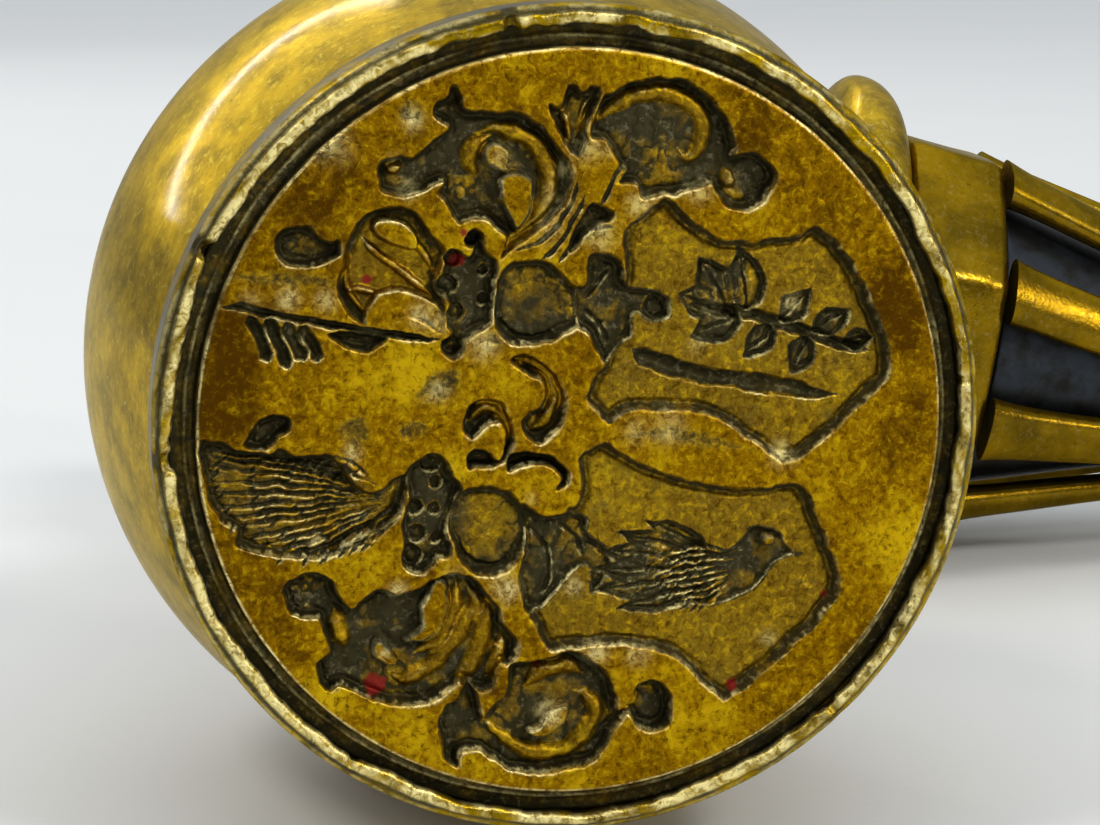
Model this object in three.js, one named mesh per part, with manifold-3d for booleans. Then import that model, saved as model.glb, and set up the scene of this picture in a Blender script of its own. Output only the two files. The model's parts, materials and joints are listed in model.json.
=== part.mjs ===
// A folding desk seal of turned and cast brass, lying folded on a flat surface.
// The head is a cushion-shaped hollow turning that carries the engraved disc in a rubbed-over
// bezel. A turned stalk on its back is pinned by a knuckle hinge to an openwork handle: eight
// tapering brass bars caged round a dark iron core, between an eight-sided block and a knob.
// Lengths are millimetres, +Z is up. The face looks along -Y and the head lies along +Y.

import * as THREE from "three";
import { mergeVertices } from "three/addons/utils/BufferGeometryUtils.js";
import Module from "manifold-3d";

const wasm = await Module();
wasm.setup();

// Clearances shared by every piece
const turnedFit = 0.15; // radial play between a turned spigot and its bore
const seatGap = 0.3; // end play where two pieces meet face to face
const runningFit = 0.09; // radial play of the hinge pin
const overrun = 1; // how far a cutting tool stands out of what it cuts

// Bezel: a thin ring rubbed over the edge of the disc
const faceRadius = 14;
const bezelWall = 0.36;
const bezelLip = 0.34;
const lipThickness = 0.55;
const bezelDepth = 2.6;
const bezelRounding = 0.25;

// Engraved disc
const grooveWidth = 0.77;
const flangeThickness = 2.05;
const registerLength = 1.4;
const bossRadius = 4.2;
const bossLength = 3.6;
const shieldDepth = 0.4;
const figureDepth = 0.7;
const scrollDepth = 0.6;

// Head: the hollow cushion behind the disc
const drumRadius = 15.8;
const drumWall = 2.2;
const drumLedgeInset = 1;
const drumMouthRadius = 11.6;
const drumFrontLength = 13.1;
const drumSwellShare = 0.62;
const drumBackLength = 9.2;
const drumBackRadius = 6.5;

// Stud that clamps disc, drum and hinge block together
const studRadius = 2.2;
const studThreadLength = 3;

// Turned ring, stalk and hinge block on the head's back
const ringRadius = 8.6;
const ringThickness = 1.6;
const stalkFootRadius = 6.8;
const stalkWaistRadius = 3.9;
const stalkHeadRadius = 5.6;
const stalkLength = 16.7;
const flangeRadius = 6.6;
const hingeFlangeThickness = 1.8;
const hingeStandoff = 7;
const lugHalfThickness = 2;
const lugRadius = 3.9;

// Clevis, pin and rosettes
const pinRadius = 1.5;
const cheekGap = 0.3;
const cheekThickness = 2.6;
const cheekRadius = 4.4;
const clevisReach = 5;
const clevisBaseThickness = 2.6;
const rosetteRadius = 3;
const rosetteThickness = 0.8;
const pinHeadRadius = 2.4;
const pinHeadHeight = 1.1;

// Handle, in order from the hinge outwards
const neckRadius = 3.9;
const neckBeadRadius = 5.2;
const neckFlareRadius = 8.6;
const neckLength = 12.2;
const guardRadius = 12.3;
const guardThickness = 4;
const blockSides = 8;
const blockStartRadius = 10.6;
const blockEndRadius = 10;
const blockLength = 5;
const barCount = 8;
const barStartHalfWidth = 1.5;
const barEndHalfWidth = 0.95;
const barStartHalfDepth = 0.82;
const barEndHalfDepth = 0.6;
const cageStartRadius = 8.95;
const cageEndRadius = 3.8;
const cageHollow = 0.3;
const cageLength = 21.6;
const cageClockDegrees = 21.5;
const cageTwistDegrees = -21;
const coreClearance = 0.35;
const collarRadius = 5.2;
const collarLength = 2.6;
const knobRadius = 6.26;
const knobNeckRadius = 3;
const knobLength = 8;
const nutRadius = 2.3;
const nutLength = 1.7;
const tangRadius = 1.1;
const tangThreadLength = 1.4;

// How far the handle is folded away from straight, as it lies
const foldDegrees = 95;

// Facets round a turning
const fineSides = 48;
const midSides = 32;
const smallSides = 20;

// Places along the head, measured back from the face
const boreRadius = faceRadius - bezelWall;
const lipRadius = boreRadius - bezelLip;
const fieldRadius = lipRadius - grooveWidth;
const drumLedgeRadius = faceRadius - drumLedgeInset;
const grooveDepth = lipThickness + seatGap;
const discBack = grooveDepth + flangeThickness;
const drumWidestAt = discBack + drumFrontLength;
const drumBack = drumWidestAt + drumBackLength;
const ringBack = drumBack + ringThickness;
const stalkBack = ringBack + stalkLength;
const hingeFlangeBack = stalkBack + hingeFlangeThickness;
const hingeAt = hingeFlangeBack + hingeStandoff;

// Places along the handle, measured out from the hinge
const clevisEnd = clevisReach + clevisBaseThickness;
const neckStart = clevisEnd + seatGap;
const neckEnd = neckStart + neckLength;
const guardStart = neckEnd + seatGap;
const guardWidestAt = guardStart + guardThickness / 2;
const guardEnd = guardStart + guardThickness;
const blockStart = guardEnd + seatGap;
const blockEnd = blockStart + blockLength;
const cageStart = blockEnd + seatGap;
const cageEnd = cageStart + cageLength;
const collarStart = cageEnd + seatGap;
const collarEnd = collarStart + collarLength;
const knobStart = collarEnd + seatGap;
const knobWidestAt = knobStart + knobLength / 2;
const knobEnd = knobStart + knobLength;
const nutStart = knobEnd + seatGap;

// The seal rests on the widest line of its head, and its handle slopes down until the guard or
// the knob meets the same surface. The two meet it together here. The handle's roll about the
// head follows from that slope.
const slopeTouching = (along, radius) =>
  Math.asin(drumRadius / Math.hypot(along, radius)) - Math.atan2(radius, along);
const slope = Math.min(
  slopeTouching(guardWidestAt, guardRadius),
  slopeTouching(knobWidestAt, knobRadius),
);
const fold = THREE.MathUtils.degToRad(foldDegrees);
const roll = Math.asin(Math.sin(slope) / Math.sin(fold));

const finish = (color, roughness, metalness) =>
  new THREE.MeshStandardMaterial({ color, roughness, metalness });
const materials = {
  engravedBrass: finish("#a1801f", 0.45, 0.9),
  rimBrass: finish("#c3a95c", 0.35, 0.9),
  turnedBrass: finish("#b5912f", 0.3, 0.95),
  castBrass: finish("#9a7a26", 0.42, 0.9),
  blackIron: finish("#4d5154", 0.45, 0.85),
  steel: finish("#77797a", 0.4, 0.9),
};

// A closed mesh with merged corners, as a solid for joining and cutting
function toSolid(geometry) {
  const bare = geometry.clone();
  bare.deleteAttribute("normal");
  bare.deleteAttribute("uv");
  const merged = mergeVertices(bare);
  const corners = merged.index.array;
  const kept = [];
  for (let i = 0; i < corners.length; i += 3) {
    const [a, b, c] = [corners[i], corners[i + 1], corners[i + 2]];
    if (a !== b && b !== c && c !== a) kept.push(a, b, c);
  }
  return new wasm.Manifold(
    new wasm.Mesh({
      numProp: 3,
      vertProperties: merged.attributes.position.array,
      triVerts: new Uint32Array(kept),
    }),
  );
}

function toGeometry(solid) {
  const mesh = solid.getMesh();
  const geometry = new THREE.BufferGeometry();
  geometry.setAttribute("position", new THREE.BufferAttribute(mesh.vertProperties, 3));
  geometry.setIndex(new THREE.BufferAttribute(mesh.triVerts, 1));
  const flat = geometry.toNonIndexed();
  flat.computeVertexNormals();
  return flat;
}

// A turning about Y from [radius, along] pairs that run round the section. A flat of the
// polygon, and not a corner, faces up, down and to each side.
function turning(profile, sides) {
  const points = profile.map(([radius, along]) => new THREE.Vector2(radius, along));
  return new THREE.LatheGeometry(points, sides, Math.PI / sides, 2 * Math.PI);
}

function rod(radius, start, end, sides) {
  return turning([[0, start], [radius, start], [radius, end], [0, end]], sides);
}

// Part of an ellipse in the turning's section, from one angle to another
function ellipseArc(centre, radii, fromDegrees, toDegrees, steps) {
  const points = [];
  for (let i = 0; i <= steps; i++) {
    const angle = THREE.MathUtils.degToRad(
      THREE.MathUtils.lerp(fromDegrees, toDegrees, i / steps),
    );
    points.push([
      centre[0] + radii[0] * Math.cos(angle),
      centre[1] + radii[1] * Math.sin(angle),
    ]);
  }
  return points;
}

function addPiece(parent, name, geometry, material) {
  const mesh = new THREE.Mesh(geometry, material);
  mesh.name = name;
  parent.add(mesh);
  return mesh;
}

// The engraving's tools are flat shapes on the face, placed in shares of the field's radius.

// A cartouche from corners joined by curves, each as control point then corner
function cartouche(start, curves) {
  const shape = new THREE.Shape();
  shape.moveTo(...start);
  for (const [bendX, bendY, x, y] of curves) shape.quadraticCurveTo(bendX, bendY, x, y);
  return shape;
}

// A pointed leaf from its root to its tip, bellied by a share of its length
function leaf([rootX, rootY], [tipX, tipY], bellyShare) {
  const across = [(rootY - tipY) * bellyShare, (tipX - rootX) * bellyShare];
  const middle = [(rootX + tipX) / 2, (rootY + tipY) / 2];
  return cartouche([rootX, rootY], [
    [middle[0] - across[0], middle[1] - across[1], tipX, tipY],
    [middle[0] + across[0], middle[1] + across[1], rootX, rootY],
  ]);
}

function disc([x, y], radiusShare) {
  const shape = new THREE.Shape();
  shape.absarc(x, y, radiusShare, 0, 2 * Math.PI, false);
  return shape;
}

// A scroll: a band along an arc that ends in a round eye
function scroll([x, y], radiusShare, widthShare, fromDegrees, toDegrees) {
  const from = THREE.MathUtils.degToRad(fromDegrees);
  const to = THREE.MathUtils.degToRad(toDegrees);
  const shape = new THREE.Shape();
  shape.absarc(x, y, radiusShare, from, to, to < from);
  shape.absarc(x, y, radiusShare - widthShare, to, from, to > from);
  return shape;
}

const shieldShares = [
  cartouche([0.11, 0.52], [
    [0.4, 0.43, 0.68, 0.53],
    [0.82, 0.4, 0.86, 0.13],
    [0.73, -0.02, 0.57, -0.12],
    [0.36, 0.09, 0.1, 0.0],
    [0.02, 0.05, 0.06, 0.1],
    [0.14, 0.3, 0.11, 0.52],
  ]),
  cartouche([0.05, -0.05], [
    [0.22, -0.2, 0.6, -0.17],
    [0.74, -0.32, 0.74, -0.49],
    [0.6, -0.65, 0.41, -0.77],
    [0.18, -0.53, -0.09, -0.61],
    [-0.02, -0.4, -0.04, -0.22],
    [-0.03, -0.1, 0.05, -0.05],
  ]),
];

const figureShares = [
  // Sprig over a bar, on the upper shield
  leaf([0.7, 0.23], [0.27, 0.3], 0.18),
  leaf([0.5, 0.27], [0.3, 0.44], 0.24),
  leaf([0.52, 0.27], [0.47, 0.46], 0.2),
  cartouche([0.15, 0.2], [
    [0.45, 0.17, 0.76, 0.1],
    [0.77, 0.08, 0.76, 0.06],
    [0.45, 0.11, 0.15, 0.14],
    [0.14, 0.17, 0.15, 0.2],
  ]),
  // Spread bird on the lower shield
  leaf([0.56, -0.37], [0.04, -0.28], 0.2),
  leaf([0.5, -0.42], [0.05, -0.47], 0.2),
  disc([0.58, -0.38], 0.055),
  // Helmets with their collars
  disc([-0.1, 0.34], 0.115),
  leaf([0.03, 0.47], [0.12, 0.2], 0.32),
  disc([-0.23, -0.28], 0.11),
  leaf([-0.07, -0.22], [0.03, -0.45], 0.34),
  // Crests: plume, tassel and feathered dart above, wing below
  disc([-0.5, 0.44], 0.13),
  disc([-0.73, 0.49], 0.075),
  leaf([-0.3, 0.21], [-0.93, 0.34], 0.07),
  leaf([-0.4, -0.1], [-0.93, 0.04], 0.2),
  leaf([-0.38, -0.2], [-0.95, -0.16], 0.26),
  leaf([-0.4, -0.3], [-0.82, -0.36], 0.24),
];

const scrollShares = [
  scroll([-0.17, 0.67], 0.17, 0.09, 215, -70),
  disc([-0.17, 0.67], 0.045),
  disc([-0.47, 0.67], 0.07),
  leaf([-0.36, 0.72], [-0.3, 0.9], 0.36),
  scroll([0.28, 0.7], 0.17, 0.07, 170, -60),
  disc([0.27, 0.7], 0.07),
  scroll([0.49, 0.64], 0.07, 0.05, 250, -90),
  leaf([0.08, 0.72], [-0.07, 0.88], 0.3),
  scroll([-0.24, 0.0], 0.075, 0.045, -80, 200),
  scroll([-0.08, 0.08], 0.085, 0.05, 120, -110),
  scroll([-0.05, -0.13], 0.07, 0.04, 170, -60),
  scroll([-0.42, -0.53], 0.15, 0.075, 130, -150),
  disc([-0.42, -0.53], 0.045),
  disc([-0.72, -0.43], 0.065),
  disc([-0.64, -0.66], 0.055),
  scroll([0.0, -0.81], 0.13, 0.07, 160, -140),
  disc([0.23, -0.8], 0.05),
  leaf([-0.2, -0.74], [-0.33, -0.88], 0.3),
  // Torses under the crests
  disc([-0.31, 0.42], 0.045),
  disc([-0.29, 0.33], 0.045),
  disc([-0.27, 0.24], 0.045),
  disc([-0.39, -0.12], 0.045),
  disc([-0.38, -0.22], 0.05),
  disc([-0.36, -0.32], 0.045),
];

// Cuts each shape into the face to its depth
function engrave(blank, shapes, depth) {
  let solid = blank;
  for (const shape of shapes) {
    const tool = new THREE.ExtrudeGeometry(shape, {
      depth: depth + overrun,
      bevelEnabled: false,
      curveSegments: 5,
    });
    tool.scale(fieldRadius, fieldRadius, 1);
    tool.rotateX(Math.PI / 2);
    tool.translate(0, depth, 0);
    solid = solid.subtract(toSolid(tool));
  }
  return solid;
}

function matrixDisc() {
  const flangeRadius = boreRadius - turnedFit;
  const registerRadius = drumMouthRadius - turnedFit;
  const registerEnd = discBack + registerLength;
  const bossEnd = registerEnd + bossLength;
  const socketRadius = studRadius + turnedFit;
  const socketFloor = bossEnd - studThreadLength - seatGap;
  const blank = turning(
    [
      [0, 0],
      [fieldRadius, 0],
      [fieldRadius, grooveDepth],
      [flangeRadius, grooveDepth],
      [flangeRadius, discBack],
      [registerRadius, discBack],
      [registerRadius, registerEnd],
      [bossRadius, registerEnd],
      [bossRadius, bossEnd],
      [socketRadius, bossEnd],
      [socketRadius, socketFloor],
      [0, socketFloor],
    ],
    fineSides,
  );
  let solid = toSolid(blank);
  solid = engrave(solid, shieldShares, shieldDepth);
  solid = engrave(solid, figureShares, figureDepth);
  solid = engrave(solid, scrollShares, scrollDepth);
  return toGeometry(solid);
}

function bezelRing() {
  return turning(
    [
      [lipRadius, 0],
      ...ellipseArc(
        [faceRadius - bezelRounding, bezelRounding],
        [bezelRounding, bezelRounding],
        -90,
        0,
        3,
      ),
      [faceRadius, bezelDepth],
      [boreRadius, bezelDepth],
      [boreRadius, lipThickness],
      [lipRadius, lipThickness],
      [lipRadius, 0],
    ],
    fineSides,
  );
}

// The cushion swells slowly from the ledge behind the bezel and closes in a quarter ellipse.
// Two quarter ellipses, a wall inside it, make its hollow.
function headDrum() {
  const swell = new THREE.QuadraticBezierCurve(
    new THREE.Vector2(drumLedgeRadius, discBack),
    new THREE.Vector2(drumRadius, discBack + drumFrontLength * drumSwellShare),
    new THREE.Vector2(drumRadius, drumWidestAt),
  );
  const close = drumRadius - drumBackRadius;
  const innerRadius = drumRadius - drumWall;
  const studHole = studRadius + turnedFit;
  const innerBack = drumBack - drumWall;
  return turning(
    [
      [drumMouthRadius, discBack],
      ...swell.getPoints(7).map((point) => point.toArray()),
      ...ellipseArc([drumBackRadius, drumWidestAt], [close, drumBackLength], 0, 90, 6).slice(1),
      [studHole, drumBack],
      [studHole, innerBack],
      ...ellipseArc(
        [drumBackRadius, drumWidestAt],
        [innerRadius - drumBackRadius, innerBack - drumWidestAt],
        90,
        0,
        4,
      ),
      ...ellipseArc(
        [drumMouthRadius, drumWidestAt],
        [innerRadius - drumMouthRadius, discBack + drumWall - drumWidestAt],
        0,
        90,
        3,
      ).slice(1),
      [drumMouthRadius, discBack],
    ],
    fineSides,
  );
}

function clampStud() {
  const bossEnd = discBack + registerLength + bossLength;
  return rod(studRadius, bossEnd - studThreadLength, stalkBack + studThreadLength, smallSides);
}

function backRing() {
  const edge = ringThickness / 2;
  const studHole = studRadius + turnedFit;
  return turning(
    [
      [studHole, drumBack],
      ...ellipseArc([ringRadius - edge, drumBack + edge], [edge, edge], -90, 90, 4),
      [studHole, ringBack],
      [studHole, drumBack],
    ],
    midSides,
  );
}

function backStalk() {
  const waistAt = ringBack + stalkLength / 2;
  const studHole = studRadius + turnedFit;
  const foot = stalkFootRadius - stalkWaistRadius;
  const head = stalkHeadRadius - stalkWaistRadius;
  const half = stalkLength / 2;
  return turning(
    [
      [studHole, ringBack],
      ...ellipseArc([stalkFootRadius, waistAt], [-foot, -half], 90, 0, 5),
      ...ellipseArc([stalkHeadRadius, waistAt], [-head, half], 0, 90, 5).slice(1),
      [studHole, stalkBack],
      [studHole, ringBack],
    ],
    midSides,
  );
}

// A flange with a round-ended lug that stands on it and carries the hinge pin's bore
function hingeBlock() {
  const socketRadius = studRadius + turnedFit;
  const socketFloor = stalkBack + studThreadLength + seatGap;
  const flange = turning(
    [
      [0, stalkBack],
      [flangeRadius, stalkBack],
      [flangeRadius, hingeFlangeBack],
      [0, hingeFlangeBack],
    ],
    midSides,
  );
  const outline = new THREE.Shape();
  outline.moveTo(-lugRadius, stalkBack);
  outline.lineTo(lugRadius, stalkBack);
  outline.lineTo(lugRadius, hingeAt);
  outline.absarc(0, hingeAt, lugRadius, 0, Math.PI, false);
  outline.closePath();
  const lug = new THREE.ExtrudeGeometry(outline, {
    depth: 2 * lugHalfThickness,
    bevelEnabled: false,
    curveSegments: 12,
  });
  lug.translate(0, 0, -lugHalfThickness);
  const bore = rod(pinRadius + runningFit, -lugRadius, lugRadius, midSides);
  bore.rotateX(Math.PI / 2);
  bore.translate(0, hingeAt, 0);
  lug.rotateY(roll);
  bore.rotateY(roll);
  const socket = rod(socketRadius, stalkBack - overrun, socketFloor, smallSides);
  const solid = toSolid(flange)
    .add(toSolid(lug))
    .subtract(toSolid(bore))
    .subtract(toSolid(socket));
  return toGeometry(solid);
}

// A fork of two round-ended cheeks on a base, bored across for the pin
function clevis() {
  const innerZ = lugHalfThickness + cheekGap;
  const outerZ = innerZ + cheekThickness;
  const baseRadius = Math.hypot(outerZ, cheekRadius / 3);
  const outline = new THREE.Shape();
  outline.moveTo(cheekRadius, clevisReach + seatGap);
  outline.lineTo(-cheekRadius, clevisReach + seatGap);
  outline.lineTo(-cheekRadius, 0);
  outline.absarc(0, 0, cheekRadius, Math.PI, 2 * Math.PI, false);
  outline.closePath();
  let solid = toSolid(rod(baseRadius, clevisReach, clevisEnd, midSides));
  for (const side of [-outerZ, innerZ]) {
    const cheek = new THREE.ExtrudeGeometry(outline, {
      depth: cheekThickness,
      bevelEnabled: false,
      curveSegments: 12,
    });
    cheek.translate(0, 0, side);
    solid = solid.add(toSolid(cheek));
  }
  const bore = rod(pinRadius + runningFit, -outerZ - overrun, outerZ + overrun, midSides);
  bore.rotateX(Math.PI / 2);
  const socket = rod(
    tangRadius + turnedFit,
    clevisEnd - tangThreadLength - seatGap,
    clevisEnd + overrun,
    smallSides,
  );
  return toGeometry(solid.subtract(toSolid(bore)).subtract(toSolid(socket)));
}

// The pin's two ends are hammered into low domes over the rosettes.
function hingePin() {
  const headStart = lugHalfThickness + cheekGap + cheekThickness + rosetteThickness + 2 * seatGap;
  const dome = (sign) =>
    ellipseArc([0, sign * headStart], [pinHeadRadius, sign * pinHeadHeight], 0, 90, 4);
  const pin = turning(
    [
      ...dome(-1).reverse(),
      [pinRadius, -headStart],
      [pinRadius, headStart],
      ...dome(1),
    ],
    midSides,
  );
  pin.rotateX(Math.PI / 2);
  return pin;
}

function pinRosette(sign) {
  const seat = lugHalfThickness + cheekGap + cheekThickness + seatGap;
  const hole = pinRadius + turnedFit;
  const shoulderShare = 0.7;
  const rosette = turning(
    [
      [hole, seat],
      [rosetteRadius, seat],
      [rosetteRadius, seat + rosetteThickness / 2],
      [rosetteRadius * shoulderShare, seat + rosetteThickness],
      [hole, seat + rosetteThickness],
      [hole, seat],
    ],
    smallSides,
  );
  rosette.rotateX(sign * (Math.PI / 2));
  return rosette;
}

// Turnings on the handle share the tang's bore.
const tangHole = tangRadius + turnedFit;

function neckBaluster() {
  const bead = neckBeadRadius - neckRadius;
  const beadAt = neckStart + bead;
  const flareLength = neckEnd - beadAt - bead;
  return turning(
    [
      [tangHole, neckStart],
      [neckRadius, neckStart],
      ...ellipseArc([neckRadius, beadAt], [bead, bead], -90, 90, 4),
      ...ellipseArc(
        [neckFlareRadius, beadAt + bead],
        [neckRadius - neckFlareRadius, flareLength],
        0,
        90,
        5,
      ).slice(1),
      [tangHole, neckEnd],
      [tangHole, neckStart],
    ],
    midSides,
  );
}

function guardCollar() {
  const edge = guardThickness / 2;
  const dishShare = 0.62;
  return turning(
    [
      [tangHole, guardStart],
      [neckFlareRadius, guardStart],
      ...ellipseArc([guardRadius - edge, guardWidestAt], [edge, edge * dishShare], -90, 0, 3),
      ...ellipseArc([guardRadius - edge, guardWidestAt], [edge, edge], 0, 90, 3).slice(1),
      [tangHole, guardEnd],
      [tangHole, guardStart],
    ],
    fineSides,
  );
}

// An eight-sided block, a little smaller towards the cage, with its corners clocked with the bars
function neckBlock() {
  const prism = new THREE.CylinderGeometry(
    blockEndRadius,
    blockStartRadius,
    blockLength,
    blockSides,
  );
  prism.rotateY(Math.PI / 2 - THREE.MathUtils.degToRad(cageClockDegrees));
  prism.translate(0, blockStart + blockLength / 2, 0);
  const bore = rod(tangHole, blockStart - overrun, blockEnd + overrun, smallSides);
  return toGeometry(toSolid(prism).subtract(toSolid(bore)));
}

// The cage narrows faster at first: its bars' distance from the axis, by share of its length
function cageRadius(share) {
  const straight = THREE.MathUtils.lerp(cageStartRadius, cageEndRadius, share);
  return straight - cageHollow * Math.sin(Math.PI * share);
}

function barHalfDepth(share) {
  return THREE.MathUtils.lerp(barStartHalfDepth, barEndHalfDepth, share);
}

// One bar: a cylinder flattened to a strap, whose rings are moved onto the cage and turned
// to face out from its axis
function cageBar(index) {
  const rings = 9;
  const bar = new THREE.CylinderGeometry(1, 1, cageLength, 10, rings);
  const position = bar.attributes.position;
  const first = THREE.MathUtils.degToRad(cageClockDegrees) + (index * 2 * Math.PI) / barCount;
  const twist = THREE.MathUtils.degToRad(cageTwistDegrees);
  for (let i = 0; i < position.count; i++) {
    const share = position.getY(i) / cageLength + 0.5;
    const angle = first + twist * share;
    const out = cageRadius(share) + position.getX(i) * barHalfDepth(share);
    const across =
      position.getZ(i) * THREE.MathUtils.lerp(barStartHalfWidth, barEndHalfWidth, share);
    position.setXYZ(
      i,
      out * Math.cos(angle) - across * Math.sin(angle),
      cageStart + share * cageLength,
      out * Math.sin(angle) + across * Math.cos(angle),
    );
  }
  return bar;
}

function coreBarrel() {
  const steps = 6;
  const side = [];
  for (let i = 0; i <= steps; i++) {
    const share = i / steps;
    const radius = cageRadius(share) - barHalfDepth(share) - coreClearance;
    side.push([radius, cageStart + share * cageLength]);
  }
  return turning(
    [[tangHole, cageStart], ...side, [tangHole, cageEnd], [tangHole, cageStart]],
    midSides,
  );
}

function endCollar() {
  const edge = collarLength / 2;
  return turning(
    [
      [tangHole, collarStart],
      ...ellipseArc([collarRadius - edge, collarStart + edge], [edge, edge], -90, 90, 6),
      [tangHole, collarEnd],
      [tangHole, collarStart],
    ],
    midSides,
  );
}

function endKnob() {
  const half = knobLength / 2;
  return turning(
    [
      [tangHole, knobStart],
      ...ellipseArc([knobNeckRadius, knobWidestAt], [knobRadius - knobNeckRadius, half], -90, 90, 8),
      [tangHole, knobEnd],
      [tangHole, knobStart],
    ],
    midSides,
  );
}

function endNut() {
  const hole = tangHole;
  const floor = nutStart + tangThreadLength / 2 + seatGap;
  return turning(
    [
      [0, floor],
      [hole, floor],
      [hole, nutStart],
      [nutRadius, nutStart],
      ...ellipseArc([0, nutStart + nutLength / 2], [nutRadius, nutLength / 2], 0, 90, 5),
    ],
    smallSides,
  );
}

function handleTang() {
  return rod(tangRadius, clevisEnd - tangThreadLength, nutStart + tangThreadLength / 2, smallSides);
}

function buildHead() {
  const head = new THREE.Group();
  addPiece(head, "matrix_disc", matrixDisc(), materials.engravedBrass);
  addPiece(head, "bezel_ring", bezelRing(), materials.rimBrass);
  addPiece(head, "head_drum", headDrum(), materials.turnedBrass);
  addPiece(head, "clamp_stud", clampStud(), materials.steel);
  addPiece(head, "back_ring", backRing(), materials.turnedBrass);
  addPiece(head, "back_stalk", backStalk(), materials.turnedBrass);
  addPiece(head, "hinge_block", hingeBlock(), materials.castBrass);
  return head;
}

function buildHandle() {
  const handle = new THREE.Group();
  addPiece(handle, "clevis", clevis(), materials.castBrass);
  addPiece(handle, "hinge_pin", hingePin(), materials.steel);
  addPiece(handle, "pin_rosette_upper", pinRosette(1), materials.turnedBrass);
  addPiece(handle, "pin_rosette_lower", pinRosette(-1), materials.turnedBrass);
  addPiece(handle, "neck_baluster", neckBaluster(), materials.turnedBrass);
  addPiece(handle, "guard_collar", guardCollar(), materials.turnedBrass);
  addPiece(handle, "neck_block", neckBlock(), materials.castBrass);
  for (let i = 0; i < barCount; i++) {
    addPiece(handle, "cage_bar_" + (i + 1), cageBar(i), materials.castBrass);
  }
  addPiece(handle, "core_barrel", coreBarrel(), materials.blackIron);
  addPiece(handle, "handle_tang", handleTang(), materials.steel);
  addPiece(handle, "end_collar", endCollar(), materials.turnedBrass);
  addPiece(handle, "end_knob", endKnob(), materials.turnedBrass);
  addPiece(handle, "end_nut", endNut(), materials.turnedBrass);
  return handle;
}

// The hinge is a group on the head's axis, rolled about it, and the handle folds in it.
const seal = new THREE.Group();
const hinge = new THREE.Group();
hinge.position.set(0, hingeAt, 0);
hinge.rotation.set(0, roll, 0);
const handle = buildHandle();
handle.rotation.set(0, 0, -fold);
hinge.add(handle);
seal.add(buildHead(), hinge);

// The origin is under the middle of the seal's box, on the surface that it lies on.
seal.updateMatrixWorld(true);
const box = new THREE.Box3().setFromObject(seal, true);
const middle = box.getCenter(new THREE.Vector3());
seal.position.set(-middle.x, -middle.y, -box.min.z);

export default seal;
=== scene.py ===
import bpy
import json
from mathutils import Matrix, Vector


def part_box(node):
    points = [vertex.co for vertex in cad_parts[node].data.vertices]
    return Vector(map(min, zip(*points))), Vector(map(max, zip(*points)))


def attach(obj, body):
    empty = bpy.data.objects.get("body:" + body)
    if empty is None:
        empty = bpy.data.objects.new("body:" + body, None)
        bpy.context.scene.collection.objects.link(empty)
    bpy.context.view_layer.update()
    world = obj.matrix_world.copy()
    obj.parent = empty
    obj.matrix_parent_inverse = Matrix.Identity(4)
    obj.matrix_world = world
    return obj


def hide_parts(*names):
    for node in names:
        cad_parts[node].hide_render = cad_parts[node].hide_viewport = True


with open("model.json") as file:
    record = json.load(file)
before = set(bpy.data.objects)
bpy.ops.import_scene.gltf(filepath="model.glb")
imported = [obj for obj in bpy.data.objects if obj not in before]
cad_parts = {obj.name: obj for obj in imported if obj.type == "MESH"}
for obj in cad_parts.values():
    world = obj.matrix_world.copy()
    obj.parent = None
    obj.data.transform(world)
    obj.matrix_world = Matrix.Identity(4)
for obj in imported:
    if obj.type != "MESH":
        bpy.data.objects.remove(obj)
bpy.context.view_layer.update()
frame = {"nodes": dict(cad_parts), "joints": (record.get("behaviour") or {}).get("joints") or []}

import json
import math

import bmesh
import bpy
import numpy as np
from mathutils import Matrix, Vector

bl_info = {
    "name": "Folding desk seal",
    "version": (1, 0, 0),
    "blender": (4, 5, 0),
    "location": "View3D > Sidebar > Seal",
    "description": "Dresses the packed seal matrix: engraved disc, rubbed rim, turned head and cage handle",
    "category": "Add Mesh",
}

# Lengths in this file are in millimetres unless they are add-on properties or Blender places.
MM = 0.001

# Squares along each side of the engraved face's mesh
FACE_STEPS = 560

# The head's axis leaves the face's middle along +Y, and the handle turns on the hinge. Both
# places are the CAD's own.
rim_low, rim_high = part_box("bezel_ring")
hinge = frame["joints"][0]
face_middle = Vector(((rim_low.x + rim_high.x) / 2, rim_low.y, (rim_low.z + rim_high.z) / 2))
roll = math.atan2(hinge["axis"][0], hinge["axis"][2])
rest_fold = math.radians(95)
HEAD = Matrix.Translation(face_middle)
HANDLE = (
    Matrix.Translation(hinge["pos_m"])
    @ Matrix.Rotation(roll, 4, "Y")
    @ Matrix.Rotation(-rest_fold, 4, "Z")
)

# Clearances between seated pieces, as in the CAD
TURNED_FIT = 0.15
SEAT_GAP = 0.3

# Places along the head, back from the face
LIP_THICKNESS = 0.55
FLANGE_THICKNESS = 2.05
BEZEL_DEPTH = 2.6
BEZEL_WALL = 0.36
REGISTER_LENGTH = 1.4
BOSS_RADIUS = 4.2
BOSS_LENGTH = 3.6
STUD_RADIUS = 2.2
STUD_THREAD = 3.0
DRUM_LEDGE_RADIUS = 13.0
DRUM_MOUTH_RADIUS = 11.6
DRUM_FRONT_LENGTH = 13.1
DRUM_SWELL_SHARE = 0.62
DRUM_BACK_LENGTH = 9.2
DRUM_BACK_RADIUS = 6.5
DRUM_WALL = 2.2
RING_RADIUS = 8.6
RING_THICKNESS = 1.6
STALK_FOOT_RADIUS = 6.8
STALK_WAIST_RADIUS = 3.9
STALK_HEAD_RADIUS = 5.6
STALK_LENGTH = 16.7

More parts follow.
